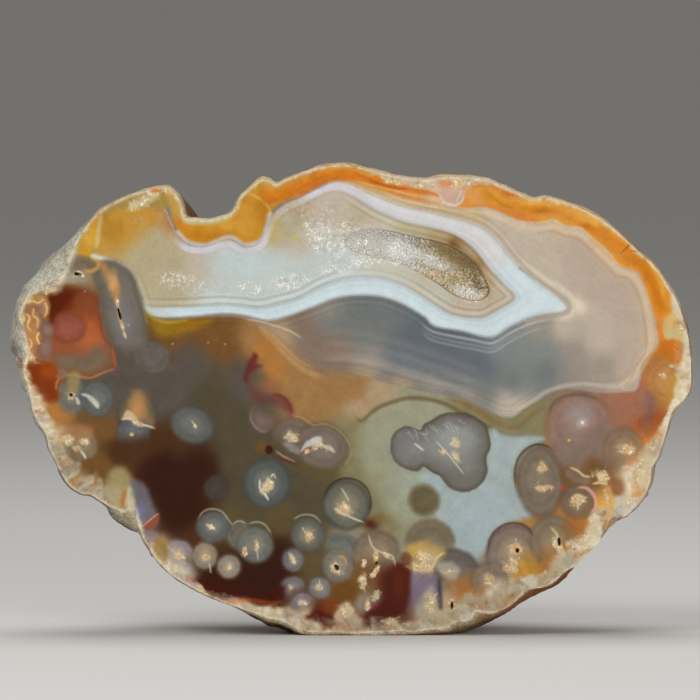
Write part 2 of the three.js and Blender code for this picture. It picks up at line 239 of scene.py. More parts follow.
def flat_mm(places):
    places = np.asarray(places, float)
    return np.stack([(places[:, 0] - GRID_MIDDLE) * SQUARE / MM, (GRID_BOTTOM - places[:, 1]) * SQUARE
        / MM], 1)


def spread_over_back(middle, count, first_turn):
    k = np.arange(count)
    around = first_turn + k * GOLDEN_ANGLE
    outward = np.sqrt((k + 0.5) / count)
    return np.stack([
        middle[0] + np.cos(around) * outward * 50,
        WIDEST_BEHIND + (STONE_DEPTH - WIDEST_BEHIND) * np.sqrt(1 - outward**2),
        middle[1] + np.sin(around) * outward * 35,
    ], 1)


POLE_MM = flat_mm([BACK_POLE])[0]
LUMPS = spread_over_back(POLE_MM, 74, 0.4)
PITS = spread_over_back(POLE_MM, 34, 1.7)


def rind_relief(p):
    """How far the rind lies inside its smooth dome: lumps, waves and pits, in millimetres."""
    nearest = np.min(np.linalg.norm(p[:, None] - LUMPS[None], axis=2), axis=1)
    crease = np.minimum(1, nearest / 6.4) ** 2 * 1.5
    wave = np.sin(0.17 * p[:, 0] + 0.3 * p[:, 1] + 1.3) * np.cos(0.22 * p[:, 2] - 0.2 * p[:, 1] + 0.6)
    pit = np.exp(-np.sum((p[:, None] - PITS[None]) ** 2, axis=2) / 2.7**2).sum(1)
    relief = crease + (0.5 + 0.5 * wave) * 1.4 + np.minimum(pit, 1) * 1.2
    calm = 1 - smoothstep(0, 17, np.hypot(p[:, 0] - POLE_MM[0], p[:, 2] - POLE_MM[1]))
    return mix(relief, 1.3, calm)


def foot_drop(p):
    across = 1 - smoothstep(15, 24, np.abs(p[:, 0] - 4))
    backward = smoothstep(0, 22, p[:, 1]) * (1 - smoothstep(22, 31, p[:, 1]))
    return mix(0.35, 4.6, backward) * across * (1 - smoothstep(0, 9, p[:, 2]))


def fine_rind(p):
    """Small grains, cracks and crumbs of the rind, in millimetres."""
    grains = rough(p, 2.6, 5, 3) * 0.22 + np.abs(noise(p, 1.1, 9)) * -0.22
    return grains + np.maximum(noise(p, 0.75, 12) - 0.35, 0) * 0.3


def turn_round(flat, hub):
    """How far round the hub each point lies, as a share of a whole turn, clockwise from the left."""
    return (0.5 - np.arctan2(flat[:, 1] - hub[1], flat[:, 0] - hub[0]) / (2 * math.pi)) % 1.0


def rind_rings():
    """Rings of [x, y, z] in millimetres from the face's edge to the middle of the back."""
    widest = resample(flat_mm(spline(WIDEST_EDGE, True)), COLUMNS, True)
    reach = int(WORN_REACH * COLUMNS)
    window = np.arange(-reach, reach + 1)
    worn = np.stack([widest[(i + window) % COLUMNS].mean(0) for i in range(COLUMNS)])
    edge = flat_mm(spline(FACE_EDGE, True))
    hub = flat_mm([FACE_HUB])[0]
    starts, sides = edge, np.roll(edge, -1, 0) - edge
    face = []
    for p in widest:
        ray = p - hub
        cross = ray[0] * sides[:, 1] - ray[1] * sides[:, 0]
        cross = np.where(np.abs(cross) < 1e-12, 1e-12, cross)
        off = starts - hub
        along = (off[:, 0] * sides[:, 1] - off[:, 1] * sides[:, 0]) / cross
        share = (off[:, 0] * ray[1] - off[:, 1] * ray[0]) / cross
        face.append(hub + ray * along[(share >= 0) & (share <= 1)].max())
    face = np.array(face)
    # The sharp edge is read at even steps, and crumbs are broken from it all round.
    sharp_edge = resample(edge, COLUMNS, True)
    outward = sharp_edge - hub
    outward /= np.linalg.norm(outward, axis=1)[:, None]
    sharp_edge = sharp_edge + outward * (rough(sharp_edge, 1.3, 21, 3) * 0.17 - 0.09)[:, None]
    first = np.argmin(np.abs(turn_round(sharp_edge, hub) - turn_round(widest, hub)[0]))
    sharp_edge = np.roll(sharp_edge, -first, 0)

    def raised(flat, y):
        return np.stack([flat[:, 0], np.full(len(flat), y), flat[:, 1]], 1)

    rings = [raised(sharp_edge, 0.0), raised(mix(face, widest, BEVEL_SHARE), BEVEL_BEHIND)]
    rings.append(raised(mix(face, widest, RIM_SHARE), RIM_BEHIND))
    rings.append(raised(mix(face, widest, FLANK_SHARE), FLANK_BEHIND))
    for j in range(RIND_RINGS + 1):
        back = j / RIND_RINGS
        turn = math.pi / 2 * back * LAST_RING
        scale = math.cos(turn) ** DOME_FULLNESS
        behind = WIDEST_BEHIND + (STONE_DEPTH - WIDEST_BEHIND) * math.sin(turn) ** DOME_FULLNESS
        count = int(COLUMNS * min(0.72, math.cos(turn) * 0.8)) if j else WIDEST_COLUMNS
        at = np.arange(count) / count * COLUMNS
        before = np.floor(at).astype(int)
        part = (at - before)[:, None]
        wear = float(smoothstep(0, WORN_BY, back))
        sharp = mix(widest[before], widest[(before + 1) % COLUMNS], part)
        soft = mix(worn[before], worn[(before + 1) % COLUMNS], part)
        flat = (mix(sharp, soft, wear) - POLE_MM) * scale
        point = raised(POLE_MM + flat, behind)
        way = np.stack([flat[:, 0], np.full(count, STONE_DEPTH * back), flat[:, 1]], 1)
        way /= np.linalg.norm(way, axis=1)[:, None]
        relief = rind_relief(point) * float(smoothstep(0, RELIEF_BY, back))
        rings.append(point - way * relief[:, None])
    middle = np.array([POLE_MM[0], 15.0, POLE_MM[1]])
    for k, ring in enumerate(rings[1:], 1):
        way = ring - middle
        way /= np.linalg.norm(way, axis=1)[:, None]
        ring += way * (fine_rind(ring) * (0.5 if k < 3 else 1.0) - 0.12)[:, None]
        ring[:, 2] = np.maximum(ring[:, 2] - foot_drop(ring), 0)
        ring[:, 1] = np.clip(ring[:, 1], LEAST_BEHIND, (HIGH[1] - FACE_Y) / MM)
    return rings


def stitch(near, far, near_turns=None, far_turns=None):
    """Triangles between two closed rings of vertex numbers, clockwise as seen from the front."""
    tris, i, j = [], 0, 0
    n, m = len(near), len(far)
    at_near = np.arange(n + 1) / n if near_turns is None else np.append(near_turns, near_turns[0] + 1)
    at_far = np.arange(m + 1) / m if far_turns is None else np.append(far_turns, far_turns[0] + 1)
    while i < n or j < m:
        if j == m or (i < n and at_near[i + 1] <= at_far[j + 1]):
            tris.append((near[i % n], near[(i + 1) % n], far[j % m]))
            i += 1
        else:
            tris.append((near[i % n], far[(j + 1) % m], far[j % m]))
            j += 1
    return tris


HOLLOW_DEEP = 6.5
HOLLOW_SHALLOW = 1.7
KEEL_LINE = resample(spline(HOLLOW_KEEL, False), 61, False)


def keel_of(places):
    d = np.linalg.norm(places[:, None] - KEEL_LINE[None], axis=2)
    return KEEL_LINE[np.argmin(d, 1)]


def hollow_depth(across):
    return mix(HOLLOW_SHALLOW, HOLLOW_DEEP, smoothstep(350, 458, across))


def wall_points(edge, share, lift=0.0):
    """Points of the hollow's wall in grid places and depth in millimetres: share 0 is the rim, 1 the keel."""
    flat = mix(edge, keel_of(edge), share)
    depth = hollow_depth(flat[:, 0]) * np.sqrt(1 - (1 - share) ** 2)
    return flat, np.maximum(depth - lift, 0)


def face_points(edge, hollow):
    """Places inside the face: a lattice that is coarser where the markings are calm."""
    pitch = FINE_PITCH
    xs = np.arange(GRID_LEFT, GRID_RIGHT, pitch)
    ys = np.arange(GRID_TOP, GRID_BOTTOM, pitch * math.sqrt(3) / 2)
    rows, cols = np.meshgrid(np.arange(len(ys)), np.arange(len(xs)), indexing="ij")
    x = xs[cols] + (rows % 2) * pitch / 2
    y = ys[rows]
    pts = np.stack([x.ravel(), y.ravel()], 1)
    coarse = ((rows % 2 == 0) & ((cols + (rows // 2) % 2) % 2 == 0)).ravel()
    keep = inside(pts, edge) & ~inside(pts, hollow)
    pts, coarse = pts[keep], coarse[keep]
    room = np.minimum(line_distance(pts, edge, True)[0], line_distance(pts, hollow, True)[0])
    keep = room > pitch * 0.55
    pts, coarse = pts[keep], coarse[keep]
    return pts[coarse | detailed(pts)]


PIN_HOLES = [
    ((78, 274), (3.6, 1.5), 10), ((119.5, 314), (0.9, 6.5), -14), ((336.5, 568), (1.8, 3.0), -30),
    ((517.5, 550.5), (1.6, 2.0), 0), ((559.3, 542), (1.3, 4.2), -4), ((71, 395), (1.5, 1.6), 0),
    ((452, 606), (1.2, 3.6), 0),
]
PIN_DEPTH = 0.9


def pin_depth(points):
    """How deep the small open holes in the middle of some tubes are, in millimetres."""
    return soft_field(points, [(place, radii, tilt, 1.0) for place, radii, tilt in PIN_HOLES]) * PIN_DEPTH


FINE_PITCH = 2.3
MARK_CELL, LATTICE_ROOM, EDGE_ROOM = 0.78, 0.85, 0.5
HOLLOW_COLUMNS = 260
WALL_SHARES = (0.03, 0.08, 0.16, 0.27, 0.4, 0.55, 0.7, 0.84)
CALM_AREAS = [
    [(330, 322), (400, 312), (440, 338), (495, 352), (560, 325), (585, 300), (560, 265), (520, 235),
        (560, 235),
     (600, 260), (635, 300), (640, 370), (600, 380), (540, 385), (510, 400), (470, 385), (400, 365),
         (340, 345)],
    [(490, 440), (540, 445), (515, 470), (512, 500), (500, 530), (475, 545), (455, 520), (470, 500)],
    [(160, 255), (210, 255), (270, 255), (300, 262), (280, 292), (220, 296), (165, 296)],
    [(130, 345), (180, 335), (240, 345), (240, 400), (215, 400), (190, 395), (130, 395)],
    [(350, 430), (385, 410), (400, 415), (375, 460), (400, 480), (400, 520), (375, 500)],
]


def detailed(points):
    calm = np.zeros(len(points), bool)
    for area in CALM_AREAS:
        calm |= inside(points, area)
    return ~calm


# The markings. Colours are red, green, blue from 0 to 255, as the eye sees them.
GROWTH_RIM = [
    (150, 318), (172, 320), (200, 318), (225, 317), (248, 320), (262, 327), (276, 338), (290, 350),
    (303, 362), (320, 371), (345, 373), (365, 377), (395, 385), (430, 393), (460, 398), (485, 409),
    (500, 416), (513, 417), (525, 408), (542, 398), (560, 390), (580, 390), (600, 393), (625, 392),
    (637, 389), (641, 375), (650, 358), (658, 347), (657, 330), (652, 308), (646, 290), (637, 272),
    (620, 266), (608, 252), (592, 238), (580, 228), (565, 226), (553, 221), (540, 224), (520, 221),
    (505, 214), (486, 207), (465, 208), (443, 206), (415, 201), (390, 194), (365, 186), (336, 180),
    (318, 187), (300, 196), (284, 202), (273, 210), (265, 226), (259, 240), (246, 245), (230, 237),
    (207, 244), (190, 243), (179, 234), (172, 216), (165, 200), (140, 199), (110, 208), (101, 216),
    (98, 238), (92, 254), (108, 260), (124, 266), (135, 280), (140, 300), (145, 312),
]
WHITE_OUTER = [
    (93, 256), (109, 261), (125, 267), (135, 279), (139, 295), (145, 310), (152, 316), (170, 317),
    (201, 315), (223, 313), (245, 315), (268, 320), (290, 315), (312, 307), (335, 298), (359, 295),
    (384, 297), (407, 306), (425, 317), (435, 326), (463, 331), (491, 337), (512, 325), (537, 315),
    (561, 311), (565, 306), (550, 292), (530, 277), (512, 259), (496, 239), (479, 226), (453, 218),
    (428, 212), (402, 206), (376, 196), (351, 185), (335, 182), (318, 189), (300, 198), (286, 204),
    (274, 214), (267, 230), (260, 243), (245, 248), (228, 240), (207, 247), (189, 246), (177, 236),
    (170, 220), (160, 206), (128, 206), (106, 214), (101, 234), (96, 250),
]
WHITE_INNER = [
    (101, 262), (120, 268), (131, 277), (138, 290), (143, 303), (150, 307), (184, 307), (219, 305),
    (240, 306), (259, 308), (282, 303), (300, 298), (325, 285), (351, 278), (376, 278), (397, 283),
    (415, 292), (435, 305), (453, 315), (480, 318), (496, 311), (515, 298), (504, 284), (489, 268),
    (473, 248), (453, 234), (428, 227), (402, 221), (376, 210), (351, 195), (335, 190), (318, 196),
    (300, 205), (288, 211), (277, 221), (270, 237), (262, 249), (245, 254), (228, 247), (207, 253),
    (188, 252), (174, 243), (164, 226), (154, 213), (128, 213), (110, 220), (105, 236), (101, 251),
]

# The palette.
PALE_BLUE, MILK, LAVENDER, IVORY = (200, 214, 218), (207, 206, 205), (204, 198, 204), (222, 210, 184)
CREAM, SAND, FAWN, BEIGE = (204, 186, 148), (188, 166, 130), (166, 142, 110), (184, 170, 152)
ROSE, WARM_GREY, PINK_TAN, SMOKE = (178, 158, 142), (142, 132, 120), (126, 106, 92), (108, 112, 110)
SLATE, MIST, ASH, OLIVE_GREY = (92, 99, 107), (122, 128, 126), (84, 76, 68), (76, 68, 48)
OLIVE, MOSS, SAGE, PANE = (88, 74, 42), (124, 117, 82), (142, 140, 114), (160, 174, 178)
AMBER, CHESTNUT, UMBER, DEEP = (168, 112, 54), (112, 76, 36), (70, 40, 16), (48, 16, 0)
OCHRE, GOLD, ORANGE, FLAME = (186, 136, 44), (208, 148, 56), (204, 126, 54), (208, 132, 40)
PEACH, SALMON, RUST, LILAC = (212, 176, 142), (152, 100, 76), (150, 74, 24), (132, 122, 134)
WHITE, PALE, TAN, QUARTZ = (210, 209, 200), (186, 184, 170), (166, 142, 104), (186, 195, 192)
DUN, HAZEL = (172, 160, 128), (150, 112, 68)
MAROON, BLOOD, VIOLET, DARK = (98, 32, 30), (70, 16, 4), (118, 108, 124), (34, 16, 8)

# Soft ground colours: colour, reach, and the places (across, down) that they spread from.
BROWN_GROUND = [
    (CHESTNUT, 16, [(165, 336), (205, 330), (226, 343), (98, 468), (346, 592), (102, 424)]),
    (AMBER, 13, [(262, 350), (276, 368)]),
    (HAZEL, 12, [(300, 384), (290, 360), (250, 338)]),
    (ASH, 19, [(190, 365), (160, 388), (120, 365), (112, 400), (244, 380)]),
    (OLIVE_GREY, 19, [(215, 398), (235, 430), (232, 464), (252, 506), (300, 492)]),
    (UMBER, 12, [(176, 440), (118, 452), (200, 542), (150, 440)]),
    (DEEP, 17, [(165, 474), (182, 502), (252, 586), (274, 562), (225, 588), (206, 470)]),
    (OLIVE, 14, [(240, 520), (278, 515), (322, 470), (314, 562), (150, 345)]),
    (WARM_GREY, 9, [(345, 545)]),
]
GREEN_GROUND = [
    (MOSS, 13, [(368, 496), (386, 522), (356, 474), (352, 434), (520, 432), (470, 418)]),
    (SAGE, 15, [(392, 424), (424, 408), (400, 478), (380, 452), (404, 510), (420, 532)]),
    (HAZEL, 13, [(328, 394), (305, 398), (350, 392)]),
    (FAWN, 10, [(356, 408), (376, 396)]),
]
GROWTH_GROUND = [
    (FAWN, 11, [(284, 336), (366, 378), (402, 386)]),
    (PINK_TAN, 13, [(312, 346), (342, 349), (300, 326), (330, 364)]),
    (SMOKE, 15, [(336, 320), (362, 312), (392, 322), (366, 340), (480, 388), (512, 384), (545, 370)]),
    (SLATE, 18, [(412, 340), (440, 346), (402, 358), (442, 364), (480, 364)]),
    (MIST, 14, [(524, 352), (500, 350), (548, 346)]),
    (WARM_GREY, 12, [(370, 362), (434, 388), (472, 398), (575, 352), (575, 376), (606, 368), (546, 330),
        (330, 312)]),
    (BEIGE, 15, [(602, 322), (598, 338), (540, 244), (536, 268), (554, 276), (508, 226), (511, 404),
        (562, 330)]),
    (IVORY, 6, [(580, 306)]),
    (ROSE, 15, [(606, 292), (592, 272), (624, 286), (626, 336), (622, 366), (622, 312), (575, 258)]),
    (SAND, 8, [(474, 214), (366, 188), (560, 230), (600, 254), (644, 304), (648, 340), (620, 274),
        (440, 204), (400, 197)]),
]
RIM_GROUND = [
    (ORANGE, 10, [(340, 172), (304, 186), (402, 184), (476, 194), (502, 196), (664, 340), (650, 442),
        (524, 206)]),
    (OCHRE, 10, [(270, 194), (256, 216), (214, 230), (528, 566), (668, 386), (86, 238)]),
    (GOLD, 9, [(240, 214), (376, 176), (552, 212), (580, 216), (606, 512)]),
    (FLAME, 9, [(602, 236), (626, 250), (646, 270), (660, 300)]),
    (PEACH, 9, [(448, 190), (664, 456), (44, 330)]),
    (IVORY, 8, [(682, 330), (628, 502), (500, 592), (640, 482), (110, 496), (342, 616)]),
    (AMBER, 9, [(656, 366), (60, 410), (548, 562), (578, 520), (472, 582)]),
    (SALMON, 12, [(640, 402), (618, 414)]),
    (RUST, 10, [(650, 424), (44, 378)]),
    (CHESTNUT, 10, [(562, 474), (60, 300), (592, 466)]),
    (PINK_TAN, 12, [(592, 448), (566, 456), (600, 430), (578, 452)]),
    (WARM_GREY, 8, [(472, 562), (498, 562), (362, 602)]),
    (LILAC, 8, [(420, 588), (142, 516)]),
    (SAND, 8, [(440, 612), (58, 440), (84, 482), (158, 552), (240, 604), (300, 618)]),
    (PALE, 9, [(30, 310), (60, 270), (178, 576)]),
    (BLOOD, 9, [(398, 585), (375, 620), (327, 616)]),
]
WHITE_GROUND = [
    (PALE_BLUE, 14, [(525, 300), (470, 322), (420, 300), (350, 288), (270, 312), (190, 311), (515, 275)]),
    (QUARTZ, 10, [(143, 300), (128, 272)]),
    (PALE, 10, [(100, 250)]),
    (LAVENDER, 13, [(330, 190), (256, 246), (200, 248)]),
    (BEIGE, 10, [(285, 210), (174, 234)]),
    (MILK, 14, [(400, 213), (450, 226), (492, 252)]),
    (CREAM, 12, [(130, 208)]),
]
QUARTZ_GROUND = [
    (OCHRE, 12, [(110, 222), (146, 214), (124, 232)]),
    (AMBER, 7, [(168, 224), (160, 206)]),
    (DUN, 12, [(158, 240), (140, 258), (284, 232), (164, 264), (178, 286), (282, 222), (352, 222),
        (410, 232)]),
    (FAWN, 8, [(300, 210)]),
    (BEIGE, 12, [(200, 274), (300, 246), (330, 214), (366, 228), (500, 292), (470, 306), (350, 204)]),
    (QUARTZ, 17, [(240, 270), (220, 292), (276, 272), (336, 268), (306, 270), (350, 258)]),
    (PALE, 9, [(330, 240), (402, 272), (440, 294), (372, 262)]),
    (IVORY, 10, [(398, 250), (372, 246)]),
    (CHESTNUT, 5, [(452, 244), (474, 268)]),
    (TAN, 9, [(440, 240), (446, 262), (470, 276), (486, 288)]),
]


def soft_field(points, spots):
    """How strongly soft spots of (place, radii, tilt, strength) cover each point, from 0 to 1."""
    field = np.zeros(len(points))
    for (x, y), (a, b), tilt, strength in spots:
        c, s = math.cos(math.radians(tilt)), math.sin(math.radians(tilt))
        dx, dy = points[:, 0] - x, points[:, 1] - y
        r = np.hypot((dx * c + dy * s) / a, (dy * c - dx * s) / b)
        field = np.maximum(field, (1 - smoothstep(0.5, 1.25, r)) * strength)
    return field


def wander(points):
    """How far a natural edge strays from a smooth line: slowly, and in quick small steps."""
    slow = np.stack([rough(points, 14, 50, 3), rough(points, 14, 60, 3)], 1)
    quick = np.stack([rough(points, 3.4, 70, 2), rough(points, 3.4, 80, 2)], 1)
    return slow * 1.5 + quick * 0.8


def ellipse(place, radii, tilt, r=1.0):
    turns = np.arange(0, 2 * math.pi, min(0.5, 1.5 / (max(radii) * r)))
    c, s = math.cos(math.radians(tilt)), math.sin(math.radians(tilt))
    x, y = radii[0] * r * np.cos(turns), radii[1] * r * np.sin(turns)
    return np.stack([x * c - y * s, x * s + y * c], 1) + place


class Outlines:
    """Takes the same calls as Paint, and keeps where the mesh needs points to show each edge sharply."""

    def __init__(self):
        self.points = []

    def rows(self, path, closed, offsets, bend):
        size = np.abs(np.diff(path, axis=0)).sum() * 0.8
        path = resample(path, max(4, int(size / 1.5)), closed)
        if closed:
            step = np.roll(path, -1, 0) - np.roll(path, 1, 0)
        else:
            step = np.gradient(path, axis=0)
        side = np.stack([step[:, 1], -step[:, 0]], 1) / (np.hypot(step[:, 0], step[:, 1])[:, None] + 1e-9)
        rows = np.vstack([path + side * offset for offset in offsets])
        if bend:
            rows = rows - wander(rows - wander(rows))
        self.points.append(rows)

    def area(self, ring, colour, soft=2.5, amount=1.0, bend=True, smooth=True):
        if soft < 3.5:
            path = spline(ring, True, 5) if smooth else np.array(ring, float)
            self.rows(path, True, (-soft * 0.9, soft * 0.9), bend)

    def line(self, places, colour, width=1.5, soft=0.9, amount=1.0, taper=True, bend=False):
        path = spline(places, False, 5) if len(places) > 2 else np.array(places, float)
        if soft < 2.6:
            edge = width / 2
            self.rows(path, False, (0, -edge, edge, -edge - soft, edge + soft), bend)

    def spot(self, place, radii, colour, soft=0.5, amount=1.0, tilt=0.0, bend=True):
        if soft * max(radii) < 3.5:
            for r in (1 - min(soft, 0.8), 1 + soft):
                ring = ellipse(place, radii, tilt, r)
                self.points.append(ring - wander(ring) if bend else ring)

    def tube(self, place, radii, tilt, edge, body, middle, share, melt=None):
        size = min(radii)
        for r in (1 - 3.0 / size, 1 - 0.6 / size, 1 + 1.8 / size):
            ring = ellipse(place, radii, tilt, r)
            self.points.append(ring - wander(ring) * 0.6)

    def core(self, place, radii, tilt=0, warm=0.6, hole=False):
        pitch = 1.0
        reach = max(radii) * 1.3
        steps = np.arange(-reach, reach, pitch)
        x, y = (grid.ravel() for grid in np.meshgrid(steps, steps * math.sqrt(3) / 2))
        x = x + (np.round(y / pitch / 0.866) % 2) * pitch / 2
        c, s = math.cos(math.radians(tilt)), math.sin(math.radians(tilt))
        keep = np.hypot((x * c + y * s) / radii[0], (y * c - x * s) / radii[1]) < 1.3
        self.points.append(np.stack([x, y], 1)[keep] + place)


class Paint:
    """Colours laid one over another on points of the face."""

    def __init__(self, points):
        self.points = points
        self.rgb = np.zeros((len(points), 3))
        self.bent = points + wander(points)

    def near(self, places, margin):
        low = np.min(places, 0) - margin
        high = np.max(places, 0) + margin
        return np.where(((self.points > low) & (self.points < high)).all(1))[0]

    def lay(self, index, amount, colour):
        self.rgb[index] = mix(self.rgb[index], np.asarray(colour, float), amount[:, None])

    def ground(self, spots, sharp=2.6):
        """The soft colour field that the spots spread between them."""
        total = np.zeros_like(self.rgb)
        weight = np.full(len(self.points), 1e-12)
        for colour, reach, places in spots:
            for place in places:
                d2 = ((self.bent - place) ** 2).sum(1) / reach**2
                w = 1 / (0.7 + d2) ** sharp
                total += w[:, None] * np.array(colour)
                weight += w
        return total / weight[:, None]

    def radius(self, index, place, radii, tilt, bend=1.0):
        """Distance from the middle of an ellipse, 1 on its edge."""
        rel = mix(self.points[index], self.bent[index], bend) - place
        c, s = math.cos(math.radians(tilt)), math.sin(math.radians(tilt))
        along, over = rel[:, 0] * c + rel[:, 1] * s, rel[:, 1] * c - rel[:, 0] * s
        return np.hypot(along / radii[0], over / radii[1])

    def area(self, ring, colour, soft=2.5, amount=1.0, bend=True, smooth=True):
        ring = spline(ring, True, 5) if smooth else np.array(ring, float)
        index = self.near(ring, soft + 8)
        d = signed_distance((self.bent if bend else self.points)[index], ring)
        self.lay(index, smoothstep(-soft, soft, d) * amount, colour)

    def line(self, places, colour, width=1.5, soft=0.9, amount=1.0, taper=True, bend=False):
        path = spline(places, False, 5) if len(places) > 2 else np.array(places, float)
        index = self.near(path, width + soft + 4)
        d, at = line_distance((self.bent if bend else self.points)[index], path)
        half = width / 2 * (np.sqrt(np.clip(4 * at * (1 - at), 0.05, 1)) if taper else 1)
        amount = amount * (smoothstep(-0.02, 0.12, at) * smoothstep(1.02, 0.88, at) if taper else 1)
        self.lay(index, (1 - smoothstep(half - soft / 2, half + soft, d)) * amount, colour)

    def spot(self, place, radii, colour, soft=0.5, amount=1.0, tilt=0.0, bend=True):
        index = self.near([place], max(radii) * (1 + soft) + 6)
        r = self.radius(index, place, radii, tilt, 1.0 if bend else 0.0)
        self.lay(index, (1 - smoothstep(1 - soft, 1 + soft, r)) * amount, colour)

    def tube(self, place, radii, tilt, edge, body, middle, share, melt=None):
        """A tube cut across: dark outline, misty body, pale middle. It may melt away to one side."""
        index = self.near([place], max(radii) * 1.3 + 4)
        points = self.points[index]
        r = self.radius(index, place, radii, tilt, 0.6)
        size = min(radii)
        cloud = rough(points, 7, 91, 3)
        colour = mix(middle, body, smoothstep(0.0, share * 1.7, r + cloud * 0.12)[:, None])
        ring = np.exp(-((r - 0.8) / 0.09) ** 2) * 0.06 - np.exp(-((r - 0.62) / 0.08) ** 2) * 0.06
        colour = mix(colour, edge, (smoothstep(0.66, 1.05, r) * 0.7)[:, None])
        tone = 0.96 + ring + 0.08 * cloud + 0.03 * noise(points, 1.7, 96)
        colour = colour * tone[:, None] * (1.0, 0.965, 0.94)
        amount = (1 - smoothstep(1 - 4.0 / size, 1 + 2.4 / size, r)) * 0.95
        if melt is not None:
            turn = math.radians(melt)
            way = (points - place) @ np.array([math.cos(turn), math.sin(turn)]) / size
            amount = amount * (1 - smoothstep(-0.35, 0.8, way + cloud * 0.3))
        self.lay(index, amount, colour)

    def core(self, place, radii, tilt=0, warm=0.6, hole=False):
        """The crumbly middle of a tube: cream crumbs with orange flecks and dark grains."""
        index = self.near([place], max(radii) * 1.5)
        points = self.points[index]
        r = self.radius(index, place, radii, tilt, 0.0)
        wide, mid, fine = rough(points, 4.2, 301, 2), rough(points, 2.4, 311, 2), noise(points, 1.5, 321)
        room = 1 - r + 0.55 * wide
        body = mix((160, 150, 126), (212, 192, 148), (fine[:, None] + 1) / 2)
        self.lay(index, smoothstep(-0.05, 0.45, room) * 0.8, body)
        self.lay(index, smoothstep(0.3, 0.55, room + 0.3 * mid) * 0.75, (206, 186, 142))
        flecks = smoothstep(0.02, 0.3, mid + room * 0.4 - 0.35 + 0.25 * (warm - 0.5))
        self.lay(index, flecks * warm * 0.85, (206, 134, 74))
        self.lay(index, smoothstep(0.35, 0.6, fine + 0.5 * room - 0.35) * 0.85, (232, 222, 196))
        grains = smoothstep(0.35, 0.6, rough(points, 1.8, 331, 2) + room * 0.4 - 0.35)
        self.lay(index, grains * 0.7, (104, 58, 30))
        if hole:
            self.lay(index, 1 - smoothstep(0.1, 0.34, r), (30, 14, 8))

    def mottle(self, amount, seed, colours, size):
        """Cloudy patches in several colours, drawn out away from the middle of the face."""
        index = np.where(amount > 0.01)[0]
        from_middle = self.points[index] - FACE_HUB
        far = np.hypot(from_middle[:, 0], from_middle[:, 1])
        around = np.arctan2(from_middle[:, 1], np.abs(from_middle[:, 0])) * 230
        points = np.stack([around, far * 0.5], 1)
        for k, (colour, low, high, share) in enumerate(colours):
            field = rough(points, size * (0.75 ** k), seed + 10 * k, 4)
            self.lay(index, smoothstep(low, high, field) * amount[index] * share, colour)


